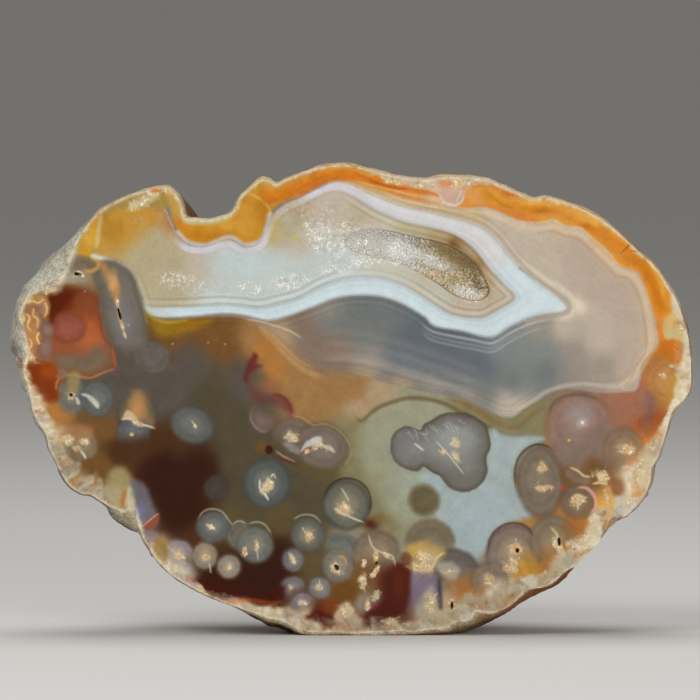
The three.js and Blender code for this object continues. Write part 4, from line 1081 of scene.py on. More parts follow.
def paint_right_tubes(paint):
    area, line, spot, core = paint.area, paint.line, paint.spot, paint.core
    area(TWIN_TUBE, (78, 70, 56), 1.2, 0.95)
    area(inset(TWIN_TUBE, 3.0), (104, 100, 94), 2.6)
    area(inset(TWIN_TUBE, 12), (126, 125, 121), 9)
    spot((408, 448), (15, 16), (122, 121, 120), 0.9, 0.7)
    spot((454, 440), (16, 14), (148, 152, 150), 0.9, 0.7)
    spot((462, 478), (14, 10), (106, 102, 92), 0.9, 0.6)
    for k in range(16):
        x, y = 408 + 3.4 * k, 431 - 0.7 * k + 3 * math.sin(5.0 * k)
        line([(x, y), (x + 6 + 3 * math.sin(2.1 * k), y + 9 + 4 * math.sin(3.7 * k))], (184, 182, 174),
            0.6, 0.6, 0.42)
    line([(414, 443), (424, 451)], (206, 204, 196), 1.6, 1, 0.8)
    line([(435, 440), (446, 452), (456, 464), (465, 476)], (196, 192, 178), 1.1, 0.9, 0.8)
    core((455, 443), (6, 6), 30, 0.15)
    core((443, 452), (4, 3), 0, 1.0)
    core((456, 457), (4, 8), -30, 0.5)
    line([(516, 492), (515, 470), (521, 454), (534, 445), (547, 446), (555, 452)], (58, 38, 26), 1.4, 1.4,
        0.7)
    line([(487, 556), (491, 537), (502, 526), (516, 523), (528, 528), (534, 538)], (70, 42, 38), 1.4, 1.4,
        0.7)
    line([(549, 416), (553, 403), (566, 396), (584, 395), (600, 400)], (98, 74, 58), 1.6, 2.0, 0.7)
    line([(546, 422), (547, 440), (554, 452)], (150, 106, 50), 1.8, 2.0, 0.6)
    for place, radii, tilt, warm in (
        ((541, 468), (7, 6), 0, 0.7), ((541, 489), (7, 5), 0, 0.8), ((548, 487), (6, 3), 0, 1.0),
        ((516, 549), (8, 9), 30, 0.4), ((514, 566), (8, 10), 0, 0.8), ((558, 546), (5, 13), -25, 0.2),
        ((627, 449), (11, 6), 0, 0.9), ((602, 476), (10, 9), 0, 0.8), ((578, 500), (9, 7), 0, 0.6),
        ((625, 468), (4, 3), 0, 0.8), ((544, 575), (4, 5), 0, 0.9), ((507, 568), (5, 5), 0, 1.0),
        ((490, 580), (7, 7), 0, 0.8), ((476, 608), (5, 4), 0, 0.6), ((636, 476), (6, 7), 0, 0.9),
        ((640, 466), (5, 5), 0, 0.7), ((570, 544), (6, 5), 0, 0.9), ((585, 540), (8, 6), -40, 0.3),
        ((530, 580), (8, 5), -30, 0.4), ((652, 446), (5, 6), 0, 0.8), ((609, 500), (7, 12), 0, 0.7),
    ):
        core(place, radii, tilt, warm)
    line([(514, 545), (517, 550), (521, 555)], (214, 146, 82), 3.0, 1.2, 0.9)
    spot((517.5, 550.5), (1.4, 1.9), DARK, 0.4)
    line([(519, 560), (524, 568), (527, 577)], (204, 150, 54), 5, 4, 0.7)
    line([(550, 526), (557, 535), (562, 548), (567, 557)], (206, 186, 132), 1.8, 1.2, 0.85)
    line([(559, 538), (559.5, 546)], DARK, 1.8, 0.8, 0.9)
    area([(646, 392), (654, 396), (653, 414), (650, 432), (643, 430), (645, 410)], (118, 88, 88), 5, 0.7)
    spot((652, 432), (9, 7), (166, 96, 36), 0.9, 0.7)
    spot((578, 414), (13, 12), (150, 134, 130), 0.9, 0.8)
    # A painted highlight on the mauve tube: a pale spot with a small white dot.
    spot((582, 423), (5, 4), (184, 172, 168), 0.9, 0.8)
    spot((582.5, 423), (1.5, 1.4), (224, 218, 212), 0.5)
    spot((569, 440), (1.5, 1.5), (206, 166, 84), 0.5)
    line([(592, 484), (600, 483), (609, 485)], (216, 184, 112), 1.8, 1.2, 0.9)
    line([(569, 467), (578, 471), (584, 476), (592, 477)], (206, 184, 138), 1.6, 1.2, 0.9)
    area([(568, 470), (582, 477), (592, 480), (586, 484), (574, 482), (567, 476)], (122, 106, 92), 2, 0.8)
    line([(577, 488), (586, 488), (594, 496), (596, 506), (590, 514)], (206, 152, 142), 2.8, 1.2, 0.9)
    line([(578, 505), (578, 511)], PALE, 1.8, 1, 0.8)
    spot((562, 489), (1.8, 2.2), (184, 56, 38), 0.6)
    area([(612, 478), (622, 480), (626, 490), (620, 498), (610, 492)], (126, 74, 36), 5.0, 0.8)
    area([(616, 498), (630, 496), (636, 504), (626, 514), (616, 510)], (192, 188, 182), 2.5, 0.85)
    core((626, 503), (9, 6), -20, 0.0)
    area([(604, 522), (612, 516), (626, 518), (616, 526), (606, 534), (602, 530)], (112, 56, 18), 1.6, 0.9)
    line([(606, 484), (611, 500), (609, 516), (604, 530)], (204, 154, 80), 5, 4, 0.75)
    spot((574, 526), (10, 8), (150, 92, 34), 0.9, 0.7)
    # The gold tube and the mixed crust at the bottom.
    area([(408, 548), (422, 540), (436, 546), (446, 552), (436, 562), (430, 576), (418, 580), (410, 566)],
         (176, 142, 82), 4, 0.9)
    spot((416, 550), (8, 5), (194, 160, 78), 0.9, 0.7)
    spot((430, 560), (9, 8), (204, 184, 144), 0.9, 0.7)
    core((424, 558), (10, 7), 20, 0.4)
    core((420, 568), (12, 9), 10, 0.9)
    line([(446, 552), (437, 558), (432, 568), (420, 576), (412, 586)], (206, 190, 150), 1.8, 1.2, 0.85)
    area([(436, 566), (450, 562), (460, 570), (454, 580), (444, 576)], (176, 170, 154), 3, 0.8)
    core((448, 572), (8, 4), 0, 0.5)
    area([(410, 574), (432, 576), (440, 590), (436, 600), (416, 600), (406, 612), (404, 596)],
        (124, 110, 124), 4, 0.85)
    area([(424, 594), (433, 586), (438, 606), (434, 622), (420, 620), (416, 606)], (172, 162, 144), 4, 0.8)
    core((430, 606), (7, 14), 0, 0.5)
    line([(439, 576), (440, 596), (441, 612)], (62, 48, 58), 3.0, 3.0, 0.85)
    line([(452, 582), (454, 596), (451, 612)], (176, 126, 106), 4, 3.0, 0.7)
    core((452, 606), (4, 12), 0, 0.9, True)
    area([(392, 570), (400, 564), (408, 572), (410, 590), (408, 604), (402, 616), (392, 618), (380, 624),
        (366, 627), (364, 620), (376, 606), (388, 592)], (74, 20, 6), 4, 0.95)
    spot((398, 588), (7, 16), (92, 36, 8), 0.9, 0.7)
    core((390, 622), (9, 5), 0, 1.0)
    spot((371, 606), (6, 4), (150, 66, 70), 0.9, 0.5)
    area([(304, 618), (316, 610), (330, 616), (336, 622), (328, 629), (318, 622)], (78, 14, 6), 3, 0.95)
    area([(320, 606), (336, 598), (338, 610), (328, 614)], (124, 58, 16), 4, 0.85)
    area([(332, 588), (346, 580), (356, 588), (352, 600), (336, 602)], (104, 66, 20), 5, 0.85)
    area([(340, 606), (348, 602), (354, 612), (362, 626), (346, 630), (334, 624)], (184, 162, 134), 2.4, 0.9)
    line([(340, 614), (348, 624), (352, 632)], (180, 110, 62), 1.6, 1.4, 0.7)
    core((347, 612), (8, 9), 0, 0.3)
    area([(196, 584), (214, 578), (236, 586), (262, 592), (284, 586), (282, 600), (262, 600), (236, 598),
        (214, 598)], (58, 10, 0), 4, 0.9)
    line([(190, 588), (206, 598), (226, 602), (250, 601), (268, 604), (286, 603)], (186, 84, 34), 2.4, 3.0,
        0.6, True, True)
    line([(186, 577), (196, 585), (206, 596)], (170, 78, 34), 3.0, 2.6, 0.8)
    core((199, 588), (10, 4), 42, 0.9)
    # The broken line of bright crumbs up from the bottom, and the dark red spot above it.
    line([(368, 532), (372, 546), (380, 552), (392, 556), (396, 568)], (206, 190, 170), 1.1, 1, 0.85)
    for place, radii, tilt, warm in (
        ((364, 563), (3, 6), 20, 0.9), ((376, 556), (3, 7), 10, 0.8), ((387, 556), (6, 3), 30, 1.0),
        ((363, 582), (5, 11), -10, 0.3), ((375, 572), (3, 9), 30, 0.7), ((376, 596), (5, 7), 20, 0.3),
        ((368, 604), (4, 9), 0, 0.7),
    ):
        core(place, radii, tilt, warm)
    spot((377, 563), (1.3, 1.8), DARK, 0.5)
    spot((371, 524), (7, 5), (70, 22, 8), 0.9, 0.9)
    spot((379, 518), (7, 4), (124, 78, 26), 0.9, 0.5)
    area([(410, 566), (400, 560), (404, 552), (412, 556)], (90, 40, 20), 2.5, 0.6)
    # The cream blob at the lower left, with the blue fold beside it.
    area([(106, 490), (110, 472), (122, 466), (131, 476), (136, 490), (134, 506), (122, 511), (110, 502)],
         (162, 148, 104), 5, 0.85)
    area([(129, 484), (134, 496), (136, 508), (128, 509), (126, 498)], (196, 188, 156), 2.4, 0.85)
    line([(125, 488), (123, 500), (122, 508)], (184, 108, 56), 3.0, 1.8, 0.9)
    area([(130, 482), (142, 482), (150, 496), (154, 510), (156, 518), (148, 522), (140, 520), (137, 506)],
         (104, 100, 108), 4, 0.9)
    spot((140, 512), (5, 8), (112, 112, 146), 0.9, 0.7)
    area([(142, 526), (150, 520), (158, 514), (158, 522), (154, 530), (146, 530)], (140, 76, 54), 1.8, 0.9)
    line([(141, 528), (150, 520), (159, 513)], (206, 146, 116), 1.1, 0.9, 0.9)
    area([(142, 532), (154, 532), (160, 540), (152, 548), (146, 542)], (134, 120, 122), 3.4, 0.8)
    area([(152, 546), (160, 538), (168, 546), (166, 562), (158, 558)], (150, 116, 52), 3, 0.85)
    core((176, 574), (8, 4), 30, 0.0)
    line([(172, 572), (186, 580), (200, 590)], (150, 150, 184), 2.6, 2.4, 0.6)


def paint_bands(paint):
    """Separate lines of the banded part, and the pale round field under it."""
    line = paint.line
    line([(262, 330), (272, 339), (282, 350), (293, 361), (305, 370), (318, 376)], (186, 146, 96), 4.0,
        2.5, 0.55, False)
    line([(256, 326), (268, 331), (280, 342), (290, 352), (302, 362), (316, 369)], (190, 154, 108), 1.6,
        1.8, 0.5)
    line([(242, 319), (258, 321), (276, 326), (290, 331), (303, 339)], (196, 180, 152), 1.3, 1.2, 0.75)
    for rise, strength in ((-2, 0.5), (12, 0.3), (24, 0.22)):
        line([(316, 357 - rise), (350, 356 - rise), (378, 361 - rise), (404, 369 - rise), (428, 377 - rise),
              (458, 387 - rise), (482, 397 - rise)], (164, 154, 142), 5.0, 5.0, strength)
    under_band = [(4, (200, 206, 206), 0.45), (9, (146, 152, 154), 0.5), (13, (186, 190, 190), 0.35)]
    for drop, colour, strength in under_band:
        line([(420, 318 + drop), (432, 327 + drop), (452, 332 + drop), (474, 336 + drop),
            (492, 339 + drop), (508, 330 + drop), (530, 320 + drop * 0.9), (556, 315 + drop * 0.8)],
            colour, 1.3, 1.6, strength)
    # Cream lines around the tip of the white band.
    line([(520, 268), (540, 282), (556, 292), (569, 303), (566, 313), (548, 317), (526, 322)],
        (168, 158, 140), 2.0, 1.6, 0.8, False)
    line([(520, 258), (544, 278), (562, 289), (576, 304), (570, 316), (552, 321)], (210, 200, 178), 4.0,
        3.4, 0.75)
    # The pale border inside the orange rim.
    border = [(486, 212), (504, 219), (522, 226), (542, 229), (556, 227), (568, 232), (582, 235),
        (594, 246), (606, 258), (618, 270), (632, 275), (642, 290), (647, 308), (650, 328), (650, 346),
        (640, 362), (634, 376), (622, 386)]
    line(border, (208, 184, 152), 4.0, 3.4, 0.75, False)
    line([(x - 4, y + 4) for x, y in border[3:]], (176, 146, 126), 1.4, 1.6, 0.6, False)
    line([(622, 386), (604, 386), (584, 384), (564, 386), (546, 392), (530, 403), (514, 411)],
        (196, 180, 160), 2.4, 2.4, 0.6, False)
    # The round field under the banded part, with its dark edge.
    paint.area([(361, 424), (384, 407), (410, 400), (440, 404), (466, 417), (489, 429), (507, 437),
        (545, 438), (520, 460), (470, 500), (420, 520), (390, 512), (368, 480), (356, 450)],
        (150, 152, 128), 7, 0.55)
    line([(352, 412), (361, 421), (372, 412), (384, 405), (410, 398), (440, 402), (466, 415), (489, 427),
        (507, 434), (526, 436), (546, 434)], (98, 80, 50), 2.6, 2.4, 0.75)
    line([(440, 397), (462, 403), (480, 412), (498, 424), (515, 428), (530, 417), (546, 406)],
        (122, 92, 54), 4.0, 2.4, 0.6)


def paint_markings(paint):
    paint_bands(paint)
    paint_window(paint)
    paint_tubes(paint)
    paint_upper_left(paint)
    paint_top_rim(paint)
    paint_left_tubes(paint)
    paint_right_tubes(paint)


def edge_points():
    """Points that the mesh of the face needs along the edges of the markings."""
    outlines = Outlines()
    for ring in (GROWTH_RIM, WHITE_OUTER, WHITE_INNER):
        outlines.rows(spline(ring, True, 5), True, (-1.3, 0, 1.3), False)
    paint_markings(outlines)
    return np.vstack(outlines.points)


# Where the pale crust along the rim is broad.
BROAD_CRUST = [
    ((600, 545), (70, 50), -40, 1.0), ((650, 480), (34, 60), 10, 0.9), ((500, 600), (70, 34), -10, 1.0),
    ((400, 625), (70, 20), 0, 0.7), ((300, 620), (60, 20), 20, 0.75), ((75, 475), (45, 34), 35, 0.9),
    ((45, 420), (20, 50), 0, 0.6), ((685, 370), (18, 90), 0, 0.75), ((165, 565), (34, 24), 40, 0.5),
    ((240, 610), (50, 14), 15, 0.6),
]


# Where the crust is dimmer, and where the ochre of the rim is cloudy.
DIM_CRUST = [((470, 602), (130, 44), -12, 0.2), ((80, 478), (54, 34), 35, 0.2),
    ((340, 622), (90, 20), 0, 0.12)]
CLOUDY_RIM = [
    ((340, 177), (70, 8), 0, 0.8), ((550, 209), (56, 8), 12, 0.9), ((622, 250), (36, 10), 42, 0.9),
    ((660, 296), (8, 30), -12, 0.9), ((250, 212), (16, 24), 0, 0.3),
    ((120, 222), (40, 14), 0, 0.8), ((88, 238), (8, 16), 20, 0.8),
]


def rim_crust(flat):
    """How strongly the pale crust covers each place, and each place's room to the rim."""
    room = line_distance(flat, spline(FACE_EDGE, True, 6), True)[0]
    width = mix(3.4, 20.0, soft_field(flat, BROAD_CRUST)) * (1 + 0.5 * rough(flat, 16, 31, 3))
    return 1 - smoothstep(0.5, 1.15, room / np.maximum(width, 2.0) + 0.25 * rough(flat, 6, 36, 3)), room


def paint_face(flat):
    paint = Paint(flat)
    growth = signed_distance(flat, spline(GROWTH_RIM, True, 5))
    outer = signed_distance(flat, spline(WHITE_OUTER, True, 5))
    inner = signed_distance(flat, spline(WHITE_INNER, True, 5))
    rest = paint.ground(BROWN_GROUND + GREEN_GROUND + RIM_GROUND)
    bands = paint.ground(GROWTH_GROUND, 1.9)
    quartz = paint.ground(QUARTZ_GROUND, 1.7)
    # The rim of the banded part is sharp, but dissolves into the brown at its lower left.
    haze = 1.0 + 9.0 * soft_field(flat, [((300, 362), (60, 34), 20, 1.0)])
    paint.rgb = mix(rest, bands, smoothstep(-haze, haze, growth)[:, None])
    white = paint.ground(WHITE_GROUND)
    paint.rgb = mix(paint.rgb, white, smoothstep(-1.0, 0.6, outer)[:, None])
    thin = soft_field(flat, [((125, 212), (54, 22), 0, 1.0), ((104, 240), (16, 30), 0, 1.0),
        ((172, 216), (15, 26), 0, 0.95)])
    paint.rgb = mix(paint.rgb, quartz, (thin * (outer > 0))[:, None])
    paint.rgb = mix(paint.rgb, quartz, smoothstep(-0.8, 0.8, inner)[:, None])
    crust, room = rim_crust(flat)
    paint.mottle(crust, 401, [(SAND, -1.2, -0.8, 0.85), (CREAM, -0.4, 0.0, 0.85), (LILAC, 0.15, 0.5, 0.4),
        (ORANGE, 0.24, 0.5, 0.65), (PALE, 0.0, 0.5, 0.6), (IVORY, 0.0, 0.34, 0.9), (RUST, 0.4, 0.58, 0.6)],
        24)
    paint_markings(paint)
    unrest = mix(1.0, 0.5, smoothstep(-2, 8, growth))
    shade = 1 + (0.06 * rough(flat, 9, 451, 4) + 0.04 * rough(flat, 2.6, 461, 2)) * unrest
    paint.rgb = paint.rgb * (shade * (1 - soft_field(flat, DIM_CRUST) * (0.3 + 0.7 * crust)))[:, None]
    paint.mottle(soft_field(flat, CLOUDY_RIM), 491, [(GOLD, 0.0, 0.5, 0.4), (RUST, 0.15, 0.6, 0.35)], 16)
    paint.mottle(crust, 471, [((226, 218, 198), 0.25, 0.5, 0.5), ((140, 82, 40), 0.32, 0.5, 0.42)], 8)
    # A thin broken line of pale crumbs at the very edge.
    crumbs = rough(flat, 4.5, 481, 3)
    edge = 1 - smoothstep(0.8, 2.4 + 2.0 * crumbs, room)
    paint.lay(np.arange(len(flat)), np.clip(edge * (0.65 + crumbs), 0, 0.85), (220, 209, 182))
    return paint, growth, outer, inner, crust


# One closed mesh for the whole stone, with a material for the face, the rind and the hollow's wall.
POLISHED, RIND, WALL = 0, 1, 2


def cells(points, size):
    at = np.floor(points / size).astype(np.int64)
    return at[:, 0] * 100003 + at[:, 1]


def thinned(points, size):
    """One point in each square cell."""
    return points[np.sort(np.unique(cells(points, size), return_index=True)[1])]


def away_from(points, taken, size):
    """Those points that are at least a cell away from the taken ones."""
    shifts = [(i * size, j * size) for i in (-1, 0, 1) for j in (-1, 0, 1)]
    full = np.concatenate([cells(taken + shift, size) for shift in shifts])
    return points[~np.isin(cells(points, size), full)]


def ladder(floor):
    """Triangles that close a narrow ring of points from one end to the other, facing the front."""
    n = len(floor)
    tip = int(np.argmin(floor[:, 0]))
    way = [(tip + k) % n for k in range(n)]
    lid, i, j = [], 0, n
    while j - i > 2:
        lid.append((way[i % n], way[i + 1], way[j - 1]))
        i += 1
        if j - i > 2:
            lid.append((way[i], way[j - 2], way[j - 1]))
            j -= 1
    lid = np.array(lid)
    normals = np.cross(floor[lid[:, 1]] - floor[lid[:, 0]], floor[lid[:, 2]] - floor[lid[:, 0]])
    return lid[:, ::-1] if normals[:, 1].sum() > 0 else lid


def stone_mesh():
    rings = rind_rings()
    across = rings[0][:, 0] * MM / SQUARE + GRID_MIDDLE
    down = GRID_BOTTOM - rings[0][:, 2] * MM / SQUARE
    edge_ring = np.stack([across, down], 1)
    hollow_ring = resample(spline(HOLLOW_EDGE, True), HOLLOW_COLUMNS, True)
    lattice = face_points(edge_ring[::2], hollow_ring[::2])
    jitter = np.stack([hashed(lattice[:, 0] * 9, lattice[:, 1] * 9, seed=k) for k in (1, 2)], 1) - 0.5
    lattice = lattice + jitter * 0.1
    marked = edge_points()
    marked = marked[signed_distance(marked, edge_ring) > EDGE_ROOM]
    marked = marked[signed_distance(marked, hollow_ring) < -EDGE_ROOM]
    marked = thinned(marked, MARK_CELL)
    lattice = np.vstack([away_from(lattice, marked, LATTICE_ROOM), marked])
    flat = np.vstack([lattice, edge_ring, hollow_ring])
    first_edge, first_hollow = len(lattice), len(lattice) + len(edge_ring)
    loops = []
    for first, count in ((first_edge, len(edge_ring)), (first_hollow, len(hollow_ring))):
        loops += [(first + i, first + (i + 1) % count) for i in range(count)]
    result = geometry.delaunay_2d_cdt([Vector(p) for p in flat], loops, [], 0, 1e-7, True)
    tris = np.array(result[2])
    back = np.array([source[0] for source in result[3]])
    tris = back[tris]
    middle = flat[tris].mean(1)
    keep = inside(middle, edge_ring) & ~inside(middle, hollow_ring)
    tris = tris[keep]
    # Counter-clockwise as seen from the front, where down is the grid's second coordinate.
    a, b, c = flat[tris[:, 0]], flat[tris[:, 1]], flat[tris[:, 2]]
    turn = (b[:, 0] - a[:, 0]) * (c[:, 1] - a[:, 1]) - (b[:, 1] - a[:, 1]) * (c[:, 0] - a[:, 0])
    tris[turn > 0] = tris[turn > 0][:, ::-1]

    places = [to_world(flat, pin_depth(flat) * MM)]
    count = len(flat)
    faces = [tris]
    kinds = [np.full(len(tris), POLISHED)]
    near = list(range(first_edge, first_edge + len(edge_ring)))
    hub = flat_mm([FACE_HUB])[0]
    turns = [np.unwrap(turn_round(ring[:, [0, 2]], hub), period=1) for ring in rings[:2]]
    turns[1] += np.round(turns[0][0] - turns[1][0])
    for k, ring in enumerate(rings[1:]):
        world = np.stack([MIDDLE_X + ring[:, 0] * MM, FACE_Y + ring[:, 1] * MM, LOW[2] + ring[:, 2] * MM], 1)
        far = list(range(count, count + len(ring)))
        faces.append(np.array(stitch(near, far, *(turns if k == 0 else ()))))
        kinds.append(np.full(len(faces[-1]), RIND))
        places.append(world)
        count += len(ring)
        near = far
    centre = places[-1].mean(0)
    places.append(centre[None])
    cap = [(near[i], near[(i + 1) % len(near)], count) for i in range(len(near))]
    faces.append(np.array(cap))
    kinds.append(np.full(len(cap), RIND))
    count += 1

    # The hollow: its wall runs down steeply from the rim and levels out towards the keel.
    near = list(range(first_hollow, first_hollow + len(hollow_ring)))
    for k, share in enumerate(WALL_SHARES):
        columns = HOLLOW_COLUMNS // (1 + (k > 1)) // (1 + (k > 5))
        ring = resample(spline(HOLLOW_EDGE, True), columns, True)
        spot, depth = wall_points(ring, share)
        depth = depth + noise(spot, 5, 40) * 0.14 * min(1, share * 6)
        far = list(range(count, count + columns))
        faces.append(np.array(stitch(near, far))[:, ::-1])
        kinds.append(np.full(len(faces[-1]), WALL))
        places.append(to_world(spot) + np.stack([0 * depth, depth * MM, 0 * depth], 1))
        count += columns
        near = far
    lid = ladder(places[-1])
    faces.append(lid + near[0])
    kinds.append(np.full(len(lid), WALL))
    return np.vstack(places), np.vstack(faces), np.concatenate(kinds), flat


def make_object(name, places, faces):
    mesh = bpy.data.meshes.new(name)
    mesh.vertices.add(len(places))
    mesh.vertices.foreach_set("co", np.asarray(places, np.float32).ravel())
    mesh.loops.add(len(faces) * 3)
    mesh.loops.foreach_set("vertex_index", np.asarray(faces, np.int32).ravel())
    mesh.polygons.add(len(faces))
    mesh.polygons.foreach_set("loop_start", np.arange(len(faces), dtype=np.int32) * 3)
    mesh.update(calc_edges=True)
    mesh.validate()
    obj = bpy.data.objects.new(name, mesh)
    bpy.context.scene.collection.objects.link(obj)
    return obj


places, faces, kinds, stone_flat = stone_mesh()
face_count = len(stone_flat)
stone = make_object("agate_stone", places, faces)
stone.data.polygons.foreach_set("material_index", kinds.astype(np.int32))
stone.data.polygons.foreach_set("use_smooth", kinds != POLISHED)


def linear(rgb):
    c = np.clip(np.asarray(rgb, float) / 255, 0, 1)
    return np.where(c <= 0.04045, c / 12.92, ((c + 0.055) / 1.055) ** 2.4)


def set_colours(obj, name, rgb):
    layer = obj.data.color_attributes.new(name, "FLOAT_COLOR", "POINT")
    rgba = np.ones((len(rgb), 4), np.float32)
    rgba[:, :3] = linear(rgb)
    layer.data.foreach_set("color", rgba.ravel())


def set_vectors(obj, name, a, b, c):
    layer = obj.data.attributes.new(name, "FLOAT_VECTOR", "POINT")
    layer.data.foreach_set("vector", np.stack([a, b, c], 1).astype(np.float32).ravel())


# Where crystals catch the light in the clear quartz, and where the growth lines are clear.
SPARKLE = [
    ((350, 244), (46, 22), 12, 0.75), ((405, 252), (22, 17), 10, 1.0), ((440, 268), (28, 16), 30, 0.8),
    ((300, 208), (26, 14), -12, 0.16), ((290, 282), (20, 8), -8, 0.8), ((184, 282), (34, 12), 12, 0.3),
    ((330, 212), (30, 14), 10, 0.16), ((340, 266), (30, 9), -8, 0.4), ((250, 288), (14, 7), 10, 0.5),
    ((148, 228), (34, 26), 0, 0.08), ((470, 292), (18, 10), 20, 0.9), ((316, 230), (16, 12), 0, 0.6),
]
LINES = [
    ((400, 372), (110, 24), 12, 0.9), ((505, 405), (62, 20), 4, 0.9), ((330, 372), (50, 18), 14, 0.7),
    ((600, 382), (50, 16), -12, 0.5), ((650, 330), (16, 50), 0, 0.4), ((560, 228), (70, 12), 18, 0.4),
    ((440, 204), (90, 14), 12, 0.9), ((620, 262), (40, 14), 42, 0.35), ((300, 300), (180, 34), 0, 1.0),
    ((480, 260), (60, 110), -35, 0.9), ((450, 320), (130, 40), 8, 1.0), ((390, 208), (50, 22), 20, 0.9),
    ((300, 196), (60, 14), -28, 0.5), ((150, 290), (34, 50), 0, 0.25), ((220, 246), (60, 12), 0, 0.12),
]

paint, growth, outer, inner, crust = paint_face(stone_flat)


def rind_colours(p):
    """Ochre to brown on the back, pale grey and granular at the left rim, dark at the lower left."""
    wide, mid, fine = rough(p, 16, 201, 3), rough(p, 5, 211, 3), rough(p, 1.3, 221, 2)
    rgb = mix(np.array([150.0, 118, 78]), np.array([112.0, 76, 44]), smoothstep(-0.4, 0.5, wide)[:, None])
    rgb = mix(rgb, [176, 160, 132], (smoothstep(0.0, 0.6, mid) * 0.7)[:, None])
    rgb = mix(rgb, [92, 74, 58], (smoothstep(0.15, 0.6, fine) * 0.55)[:, None])
    left = smoothstep(-30, -42, p[:, 0] + 6 * mid) * smoothstep(22, 12, p[:, 1])
    rgb = mix(rgb, mix([184.0, 186, 176], [108.0, 106, 100], smoothstep(0.1, 0.5, fine)[:, None]),
        left[:, None])
    rgb = mix(rgb, [150, 128, 102], (left * smoothstep(0.15, 0.5, rough(p, 3.4, 231, 3)) * 0.7)[:, None])
    rgb = mix(rgb, [78, 68, 70], (left * smoothstep(0.2, 0.55, rough(p, 2.6, 241, 3)) * 0.7)[:, None])
    low_left = smoothstep(-22, -27, p[:, 0]) * smoothstep(26, 20, p[:, 2])
    rgb = mix(rgb, [88, 80, 72], (low_left * 0.9)[:, None])
    right = smoothstep(14, 26, p[:, 0]) * smoothstep(30, 20, p[:, 2]) * smoothstep(20, 10, p[:, 1])
    rgb = mix(rgb, mix([146.0, 84, 34], [104.0, 58, 24], smoothstep(-0.2, 0.5, mid)[:, None]),
        (right * 0.85)[:, None])
    behind = p[:, 1] - FACE_Y / MM
    rim = smoothstep(7, 1, behind) * smoothstep(18, 30, p[:, 2]) * (1 - 0.75 * left)
    # A cream band on the rind next to the face: partly the pale crust, partly painted light that lifts the
    # shade where the rind turns away from the lamps.
    crust_and_painted_light = smoothstep(3.4, 1.2, behind) * (1 - right * smoothstep(14, 9, p[:, 2])) * (1 - 0.7 * left) * 0.8
    cream = mix([222.0, 208, 176], [178.0, 140, 92], smoothstep(0.0, 0.5, mid)[:, None])
    return mix(rgb, cream, np.maximum(rim * 0.85, crust_and_painted_light)[:, None])


rgb = np.vstack([paint.rgb, rind_colours(places[face_count:] * 1000)])
in_hollow = np.unique(faces[kinds == WALL])
in_hollow = in_hollow[in_hollow >= face_count]
across = to_grid(places[in_hollow])[:, 0]
rgb[in_hollow] = mix([236.0, 233, 224], [172.0, 144, 96], smoothstep(405, 440, across)[:, None])
set_colours(stone, "paint", rgb)


def over_face(values, rest=0.0):
    """Values of the face's points, followed by one value for all others."""
    return np.concatenate([values, np.full(len(places) - face_count, rest)])


# How far each place lies on the way from the white band to the rim of the banded part.
rim_way = np.clip(-outer, 0, None) / np.maximum(np.clip(-outer, 0, None) + np.clip(growth, 0, None), 0.5)
rim_way = np.where(growth < 0, 1.2, rim_way)
set_vectors(stone, "growth", over_face(outer, -99.0), over_face(inner, -99.0), over_face(rim_way, 1.2))
set_vectors(
    stone, "cover", over_face(soft_field(stone_flat, LINES)), over_face(soft_field(stone_flat, SPARKLE)),
    over_face(crust),
)


